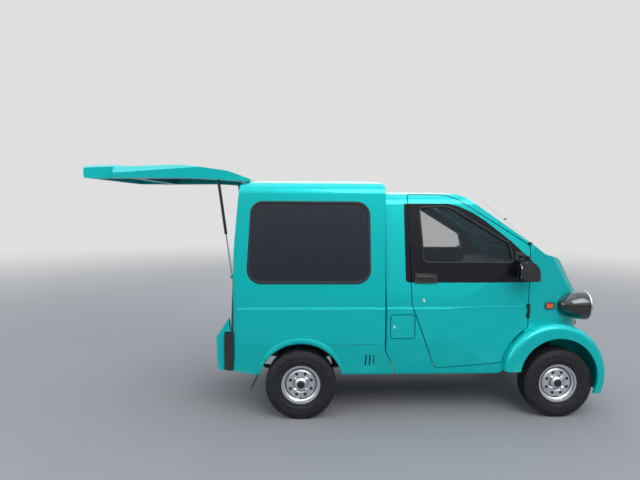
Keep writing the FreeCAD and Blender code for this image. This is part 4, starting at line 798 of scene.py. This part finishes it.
# Door: pull flap, key lock, mirror glass
lookDoor = {"flap": [(-1030, 986, 8), (-1026, 1024, 10), (-912, 1020, 12), (-908, 986, 8)],
            "flapThick": 0.004, "flapRound": 0.0016, "lock": (-980, 851), "lockRadius": 0.0105,
            "mirrorThick": 0.0025, "mirrorRound": 0.0010, "mirrorX": -341.0,
            "mirror": [(-728, 1016, 40), (-728, 1119, 40), (-664, 1119, 34), (-664, 1016, 34)]}
doorSkin = surfaceOf("door_right")
trimSkin = surfaceOf("door_trim_right")
flapY = onSide(-970, 1004, trimSkin).y
flapMesh = slab(lookDoor["flap"], lambda u, v, w: at(u, 0, v) + Vector((0, flapY - w, 0)),
                lookDoor["flapThick"], lookDoor["flapRound"])
pair("doorFlap", flapMesh, glossTrim, "door_SIDE", "gloss_black")


def keyLock(radius):
    # a bright ring with a slotted barrel
    ringProfile = [(0.0, 0.0), (radius, 0.0), (radius, 0.0022), (radius * 0.86, 0.0034),
                   (radius * 0.66, 0.0030), (radius * 0.62, 0.0018), (0.0, 0.0018)]
    barrel = lathe(ringProfile, 28, False)
    wide = radius * 120
    tall = radius * 520
    slot = slab([(-wide, -tall, 0), (-wide, tall, 0), (wide, tall, 0), (wide, -tall, 0)],
                lambda u, v, w: Vector((u / 1000, 0.0012 + w, v / 1000)), 0.0012, 0.0002)
    return joinedMesh([barrel, slot])


def sideLock(place, tree, radius):
    mesh = mirroredMesh(keyLock(radius))
    mesh.transform(Matrix.Translation(onSide(*place, tree, 0.0003)))
    return mesh


pair("doorLock", sideLock(lookDoor["lock"], doorSkin, lookDoor["lockRadius"]), chrome, "door_SIDE", "chrome")
mirrorFace = at(lookDoor["mirrorX"], 0, 0).x
mirrorMesh = slab(lookDoor["mirror"], lambda u, v, w: Vector((mirrorFace - w, u / 1000, v / 1000)),
                  lookDoor["mirrorThick"], lookDoor["mirrorRound"])
pair("mirrorGlass", mirrorMesh, mirrorSilver, "door_SIDE", "chrome")

lidLook = {"lock": (-1186, 664), "radius": 0.0085}
lidLock = sideLock(lidLook["lock"], surfaceOf("fuel_lid"), lidLook["radius"])
newPiece("fuelLock", lidLock, chrome, "fuel_lid", "chrome")

# Headlamps: bright ring, bowl, bulb
lampLook = {
    "centre": (228.0, -500.0, 792.0),
    "ring": [(0.0962, 0.0), (0.0962, 0.007), (0.0990, 0.011), (0.1030, 0.010), (0.1056, 0.005),
             (0.1058, -0.001), (0.1054, -0.004), (0.1050, 0.0)],
    "bowl": [(0.0945, -0.007), (0.086, -0.018), (0.070, -0.032), (0.048, -0.046), (0.022, -0.055),
             (0.010, -0.057), (0.010, -0.0575), (0.024, -0.0562), (0.050, -0.0472), (0.072, -0.033),
             (0.0875, -0.019), (0.0952, -0.007)],
    "bulb": [(0.0, -0.012), (0.005, -0.013), (0.008, -0.018), (0.008, -0.036), (0.0098, -0.040),
             (0.0098, -0.056), (0.0, -0.056)],
}
along = Matrix.Rotation(math.radians(-90.0), 4, "Z")      # turns a lathe's axis from Y to X
lampPlace = Matrix.Translation(at(*lampLook["centre"])) @ along
lampPieces = (("ring", chrome, "chrome", 72, True), ("bowl", chrome, "chrome", 64, True),
              ("bulb", palePlastic, "clear_glass", 20, False))
for name, material, slot, segments, shut in lampPieces:
    mesh = turnedMesh(lathe(lampLook[name], segments, shut), lampPlace)
    pair("headlamp" + name.capitalize(), mesh, material, "car", slot)

# Aerial: knob on the pillar's foot, rod along the pillar, clip half way
aerialLook = {
    "line": [(-222, -545, 1262), (-236, -541, 1282), (-454, -521, 1466), (-707, -500, 1672)],
    "width": 0.0032, "height": 0.0032,
    "knob": [(0.0, 0.026), (0.005, 0.026), (0.009, 0.022), (0.010, 0.014), (0.012, 0.004), (0.013, 0.0),
             (0.0, 0.0)],
    "clipWidth": 0.6, "clipHeight": 0.9, "foot": (-222, 1252), "clip": (-420, 1424),
}
rodPoints = [at(*point) for point in aerialLook["line"]]
rodUps = [Vector((0, -1, 0))] * len(rodPoints)
newPiece("aerialRod", strip(rodPoints, rodUps, aerialLook, rodSteel, closed=False), rodSteel, "car", "steel")
cabSide = surfaceOf("cab_shell", "nose_panel", "door_right")
clipKnob = [(radius * aerialLook["clipWidth"], along * aerialLook["clipHeight"])
            for radius, along in aerialLook["knob"]]
for name, place, knob in (("aerialFoot", aerialLook["foot"], aerialLook["knob"]),
                          ("aerialClip", aerialLook["clip"], clipKnob)):
    newPiece(name, facing(knob, onSide(*place, cabSide, 0.001)), glossTrim, "car", "gloss_black")

# Wipers: arm and blade for each side of the windscreen, and their pivots on the cowl
wiperLook = {
    "pivots": ((-96, -300), (-96, 60)), "blade": 420.0, "bladeParts": 8,
    "arm": ((0, 0, 0.016), (-30, 60, 0.022), (-62, 210, 0.020)),
    "bladeStart": (-52, 20), "bladeTurn": 24, "bladeLift": 0.010,
    "knob": [(0.0, 0.020), (0.009, 0.019), (0.012, 0.014), (0.013, 0.0), (0.0, 0.0)],
}
screenTop = surfaceOf("cab_shell", "nose_panel", "windscreen")


def aboveScreen(x, y, lift):
    start = at(x, y, 2500.0)
    place, up = groundPoint(screenTop, start, Vector((0, 0, -1)), start - Vector((0, 0, 1)))
    return place + up * lift, up


for index, (pivotX, pivotY) in enumerate(wiperLook["pivots"]):
    foot, footUp = aboveScreen(pivotX, pivotY, 0.0)
    armLine = [aboveScreen(pivotX + x, pivotY + y, lift)[0] for x, y, lift in wiperLook["arm"]]
    bladeLine = []
    for part in range(wiperLook["bladeParts"] + 1):
        share = part / wiperLook["bladeParts"]
        bladeLine.append(aboveScreen(pivotX + wiperLook["bladeStart"][0] - share * wiperLook["bladeTurn"],
                                     pivotY + wiperLook["bladeStart"][1] + share * wiperLook["blade"],
                                     wiperLook["bladeLift"]))
    bladePoints = [point for point, up in bladeLine]
    bladeUps = [up for point, up in bladeLine]
    spinePoints = [point + up * 0.008 for point, up in bladeLine[1:8]]
    arm = bead(armLine, [footUp] * 3, 0.011, 0.006, blackTrim, 8, False)
    blade = bead(bladePoints, bladeUps, 0.007, 0.016, sealRubber, 8, False)
    spine = bead(spinePoints, bladeUps[1:8], 0.009, 0.005, blackTrim, 8, False)
    upright = footUp.to_track_quat("Y", "Z").to_matrix().to_4x4()
    pivot = turnedMesh(lathe(wiperLook["knob"], 20, False), Matrix.Translation(foot) @ upright)
    newPiece("wiper_" + str(index + 1), joinedMesh([arm, blade, spine, pivot]), blackTrim, "car",
             "black_plastic")

# Lips of the rear arches: a crescent band that bulges out of the side
archLook = {
    "centreX": -1840.0, "inner": (254.0, 295.0), "outer": (292.0, 310.0), "from": 13.0, "to": 167.0,
    "steps": 64, "bulge": 0.010, "sink": 0.004, "turnIn": 0.014,
    "across": ((0.0, 0.10), (0.04, 0.50), (0.12, 0.80), (0.28, 1.0), (0.50, 0.94), (0.72, 0.66), (0.90, 0.24),
               (1.0, 0.0)),
}
boxSide = surfaceOf("cargo_shell")


def archLip(look):
    loop = [(share, high * look["bulge"]) for share, high in look["across"]]
    loop += [(1.0, -look["sink"]), (0.0, -look["turnIn"])]
    points = []
    for step in range(look["steps"] + 1):
        angle = math.radians(look["from"] + (look["to"] - look["from"]) * step / look["steps"])
        rays = [(look["centreX"] + radius * math.cos(angle), height + radius * math.sin(angle))
                for height, radius in (look["inner"], look["outer"])]
        side = onSide(rays[1][0], rays[1][1] + 12.0, boxSide).y
        for share, out in loop:
            x, z = [first + (second - first) * share for first, second in zip(*rays)]
            points.append(at(x, 0, z) + Vector((0, side - out, 0)))
    count = len(loop)
    faces = [tuple(range(count)), tuple(range(len(points) - 1, len(points) - 1 - count, -1))]
    for step in range(look["steps"]):
        near = step * count
        far = near + count
        for index in range(count):
            after = (index + 1) % count
            faces.append((near + index, near + after, far + after, far + index))
    mesh = meshOf(points, faces)
    return outwards(mesh)


pair("rearArchLip", archLip(archLook), bodyPaint, "car", "paint")

# Rolled edge along the waist, in three lengths, and the seam from the arch to the cab
waistLook = {
    "z": 799.0, "width": 0.010, "height": 0.0032, "parts": 30,
    "runs": (("waistBox", "cargo_shell", "car", -2222.0, -1312.0),
             ("waistPost", "cab_shell", "car", -1290.0, -1072.0),
             ("waistDoor", "door_right", "door_SIDE", -1046.0, -262.0)),
}
seamLook = {"line": ((-1648.0, 539.0), (-1314.0, 543.0)), "width": 0.0022, "height": 0.0008, "parts": 12}


def straightOnSide(start, stop, parts, tree):
    # points on the right side between two points of the side view, all facing right
    places = []
    for part in range(parts + 1):
        x, z = [first + (last - first) * part / parts for first, last in zip(start, stop)]
        places.append(onSide(x, z, tree))
    return places, [Vector((0, -1, 0))] * len(places)


for name, node, body, startX, endX in waistLook["runs"]:
    points, ups = straightOnSide((startX, waistLook["z"]), (endX, waistLook["z"]), waistLook["parts"],
                                 surfaceOf(node))
    pair(name, strip(points, ups, waistLook, bodyPaint, closed=False), bodyPaint, body, "paint")
points, ups = straightOnSide(*seamLook["line"], seamLook["parts"], boxSide)
pair("sideSeam", strip(points, ups, seamLook, sealRubber, 8, False), sealRubber, "car", "rubber")

# Dark border of the side turn lamps: partly their black rim, partly painted shadow along their top and bottom
# edges
lampRimAndShade = {"outline": [(-76, 776, 8), (-76, 820, 8), (-6, 812, 8), (-6, 772, 8)],
              "width": 0.010, "height": 0.004}
lampSkin = surfaceOf("turn_lamps", "cab_shell", "nose_panel")
points, ups = sideLine(lampRimAndShade["outline"], lampSkin, -0.005, 0.0002)
pair("sideLampBorder", strip(points, ups, lampRimAndShade, glossTrim), glossTrim, "car", "gloss_black")
print("outside trim ready")

# Seats: cloth pads stand for the plain seat solids
seatLook = {
    "y": -270.0, "voxel": 0.006, "pressure": 4.0, "frames": 20, "most": 0.024,
    "seat": [(-708, 590), (-700, 640), (-716, 676), (-760, 688), (-1010, 664), (-1062, 640), (-1066, 600),
             (-1040, 584)],
    "back": [(-1064, 690), (-1084, 640), (-1128, 620), (-1158, 660), (-1172, 900), (-1178, 1150),
             (-1166, 1196), (-1136, 1190), (-1112, 1120), (-1082, 860)],
    "rest": [(-1130, 1248), (-1126, 1330), (-1140, 1344), (-1168, 1344), (-1178, 1330), (-1178, 1248),
             (-1166, 1238), (-1140, 1238)],
    "parts": (("seat", 176.0, 0.90), ("back", 176.0, 0.84), ("rest", 92.0, 0.72)),
    "post": [(0.0, 0.0), (0.006, 0.0), (0.006, 0.070), (0.0, 0.070)],
    "postX": -1154, "postSpread": 60, "postZ": 1178,
    "base": [(-1186, 577, 8), (-1180, 640, 20), (-1060, 600, 20), (-720, 600, 14), (-712, 577, 8)],
    "shell": [(-1188, 600, 12), (-1192, 1190, 18), (-1176, 1190, 8), (-1168, 620, 12)],
}


def padMesh(outline, half, narrow):
    # a pad lofted across the seat, narrower and thinner towards its sides
    stations = [(-1.0, 0.80), (-0.93, 0.94), (-0.7, 1.0), (-0.35, 1.0), (0.0, 1.0), (0.35, 1.0), (0.7, 1.0),
                (0.93, 0.94), (1.0, 0.80)]
    centre = sum((Vector(point) for point in outline), Vector((0, 0))) / len(outline)
    points = []
    for place, size in stations:
        size *= narrow
        points += [at(centre.x + (x - centre.x) * size, seatLook["y"] + place * half,
                      centre.y + (z - centre.y) * size) for x, z in outline]
    count = len(outline)
    faces = []
    for near in range(0, len(points) - count, count):
        for index in range(count):
            after = (index + 1) % count
            faces.append((near + index, near + after, near + count + after, near + count + index))
    faces += [tuple(range(count)), tuple(range(len(points) - count, len(points)))]
    return outwards(meshOf(points, faces))


def swollen(mesh):
    # blows a pad up as cloth, and gives back its mesh
    holder = bpy.data.objects.new("swell", mesh)
    bpy.context.scene.collection.objects.link(holder)
    remesh = holder.modifiers.new("remesh", "REMESH")
    remesh.mode = "VOXEL"
    remesh.voxel_size = seatLook["voxel"]
    graph = bpy.context.evaluated_depsgraph_get()
    dense = bpy.data.meshes.new_from_object(holder.evaluated_get(graph))
    holder.modifiers.clear()
    holder.data = dense
    before = [vertex.co.copy() for vertex in dense.vertices]
    cloth = holder.modifiers.new("cloth", "CLOTH")
    cloth.settings.use_pressure = True
    cloth.settings.uniform_pressure_force = seatLook["pressure"]
    cloth.settings.quality = 4
    cloth.settings.effector_weights.gravity = 0.0
    cloth.point_cache.frame_start = 1
    cloth.point_cache.frame_end = seatLook["frames"]
    for frameNumber in range(1, seatLook["frames"] + 1):
        bpy.context.scene.frame_set(frameNumber)
    graph = bpy.context.evaluated_depsgraph_get()
    result = bpy.data.meshes.new_from_object(holder.evaluated_get(graph))
    for vertex, place in zip(result.vertices, before):
        move = vertex.co - place
        if move.length > seatLook["most"]:
            vertex.co = place + move.normalized() * seatLook["most"]
    holder.modifiers.clear()
    holder.data = result
    bpy.context.scene.frame_set(1)
    smooth = holder.modifiers.new("smooth", "SUBSURF")
    smooth.levels = 1
    smooth.render_levels = 1
    graph = bpy.context.evaluated_depsgraph_get()
    final = bpy.data.meshes.new_from_object(holder.evaluated_get(graph))
    bpy.data.objects.remove(holder)
    final.shade_smooth()
    return final


seatParts = {name: swollen(padMesh(seatLook[name], half, narrow)) for name, half, narrow in seatLook["parts"]}
posts = []
for side in (-1, 1):
    foot = at(seatLook["postX"], seatLook["y"] + side * seatLook["postSpread"], seatLook["postZ"])
    posts.append(turnedMesh(lathe(seatLook["post"], 14, False),
                            Matrix.Translation(foot) @ Matrix.Rotation(math.radians(90), 4, "X")))
postMesh = joinedMesh(posts)
for name, mesh in seatParts.items():
    for sign, side in bothSides:
        shown = mesh.copy() if sign < 0 else mirroredMesh(mesh)
        piece = newPiece("seat" + name.capitalize() + "_" + side, shown, seatCloth, "car", "seat_fabric")
        name == "seat" and side == "right"
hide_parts("seats")
pair("headRestPosts", postMesh, chrome, "car", "chrome")
for name, outline, half in (("seatBase", seatLook["base"], 196.0), ("seatShell", seatLook["shell"], 150.0)):
    mesh = slab(outline, lambda u, v, w: at(u, seatLook["y"] - half, v) + Vector((0, w, 0)), half / 500,
                0.004)
    pair(name, mesh, cabinPlastic, "car", "black_plastic")
print("seats ready")

# Floor, world and lamps
stageLook = {"size": 60.0, "floor": (0.235, 0.235, 0.245, 1.0), "worn": grey(0.20), "far": grey(0.74),
             "fadeFrom": 2.6, "fadeTo": 15.0, "low": 0.32, "high": 1.45}
reach = stageLook["size"]
floorMesh = meshOf([(-reach, -reach, 0), (reach, -reach, 0), (reach, reach, 0), (-reach, reach, 0)],
                   [(0, 1, 2, 3)], False)
floor = bpy.data.objects.new("floor", floorMesh)
bpy.context.scene.collection.objects.link(floor)


def lookedAt(maker):
    # 1 for what the camera sees, also through glass
    path = maker.node("ShaderNodeLightPath", {}, {}, "Is Camera Ray")
    return path.most(Wire(maker, path.socket.node.outputs["Is Transmission Ray"]))


floorPale = bpy.data.materials.new("floorPale")
floorPale.use_nodes = True
ground = Maker(floorPale.node_tree)
ground.tree.nodes.clear()
x, y, z = ground.axes()
farness = (x * x + y * y).sum("SQRT").step(stageLook["fadeFrom"], stageLook["fadeTo"])
concrete = ground.node("ShaderNodeBsdfPrincipled", {}, {
    "Base Color": ground.blend(ground.noise(3.0, 3.0) * 0.3, stageLook["floor"], stageLook["worn"]),
    "Roughness": 0.9, "Specular IOR Level": 0.1})
haze = ground.node("ShaderNodeEmission", {}, {"Color": stageLook["far"], "Strength": 1.0})
ground.node("ShaderNodeOutputMaterial", {}, {
    "Surface": ground.node("ShaderNodeMixShader", {}, {0: farness * lookedAt(ground), 1: concrete, 2: haze})})
floorMesh.materials.append(floorPale)

world = bpy.data.worlds.new("studio")
bpy.context.scene.world = world
world.use_nodes = True
air = Maker(world.node_tree)
air.tree.nodes.clear()
look = air.node("ShaderNodeTexCoord", {}, {}, "Generated")
upward = air.node("ShaderNodeSeparateXYZ", {}, {"Vector": look}, 2)
low = air.node("ShaderNodeBackground", {}, {"Color": grey(0.92), "Strength": stageLook["low"]})
high = air.node("ShaderNodeBackground", {}, {"Color": (0.86, 0.93, 1.0, 1.0), "Strength": stageLook["high"]})
dim = air.node("ShaderNodeMixShader", {}, {0: upward.step(-0.05, 0.65), 1: low, 2: high})
pale = air.node("ShaderNodeBackground", {}, {"Color": stageLook["far"], "Strength": 1.0})
backdrop = air.node("ShaderNodeMixShader", {}, {0: lookedAt(air), 1: dim, 2: pale})
air.node("ShaderNodeOutputWorld", {}, {"Surface": backdrop})


def softLight(name, place, target, size, power):
    data = bpy.data.lights.new(name, "AREA")
    data.shape = "RECTANGLE"
    data.size, data.size_y = size
    data.energy = power
    lamp = bpy.data.objects.new(name, data)
    lamp.location = place
    lamp.rotation_euler = (Vector(target) - Vector(place)).to_track_quat("-Z", "Y").to_euler()
    bpy.context.scene.collection.objects.link(lamp)


softLight("keyLight", (1.8, -4.5, 4.6), (0, 0, 0.8), (4.0, 3.0), 190.0)
softLight("fillLight", (-4.5, -3.0, 3.2), (0, 0, 0.8), (3.0, 3.0), 50.0)
softLight("backLight", (0.5, 5.0, 4.0), (0, 0, 0.8), (4.0, 2.5), 120.0)
softLight("topLight", (0, 0, 5.5), (0, 0, 0), (4.0, 3.0), 25.0)
print("studio ready")
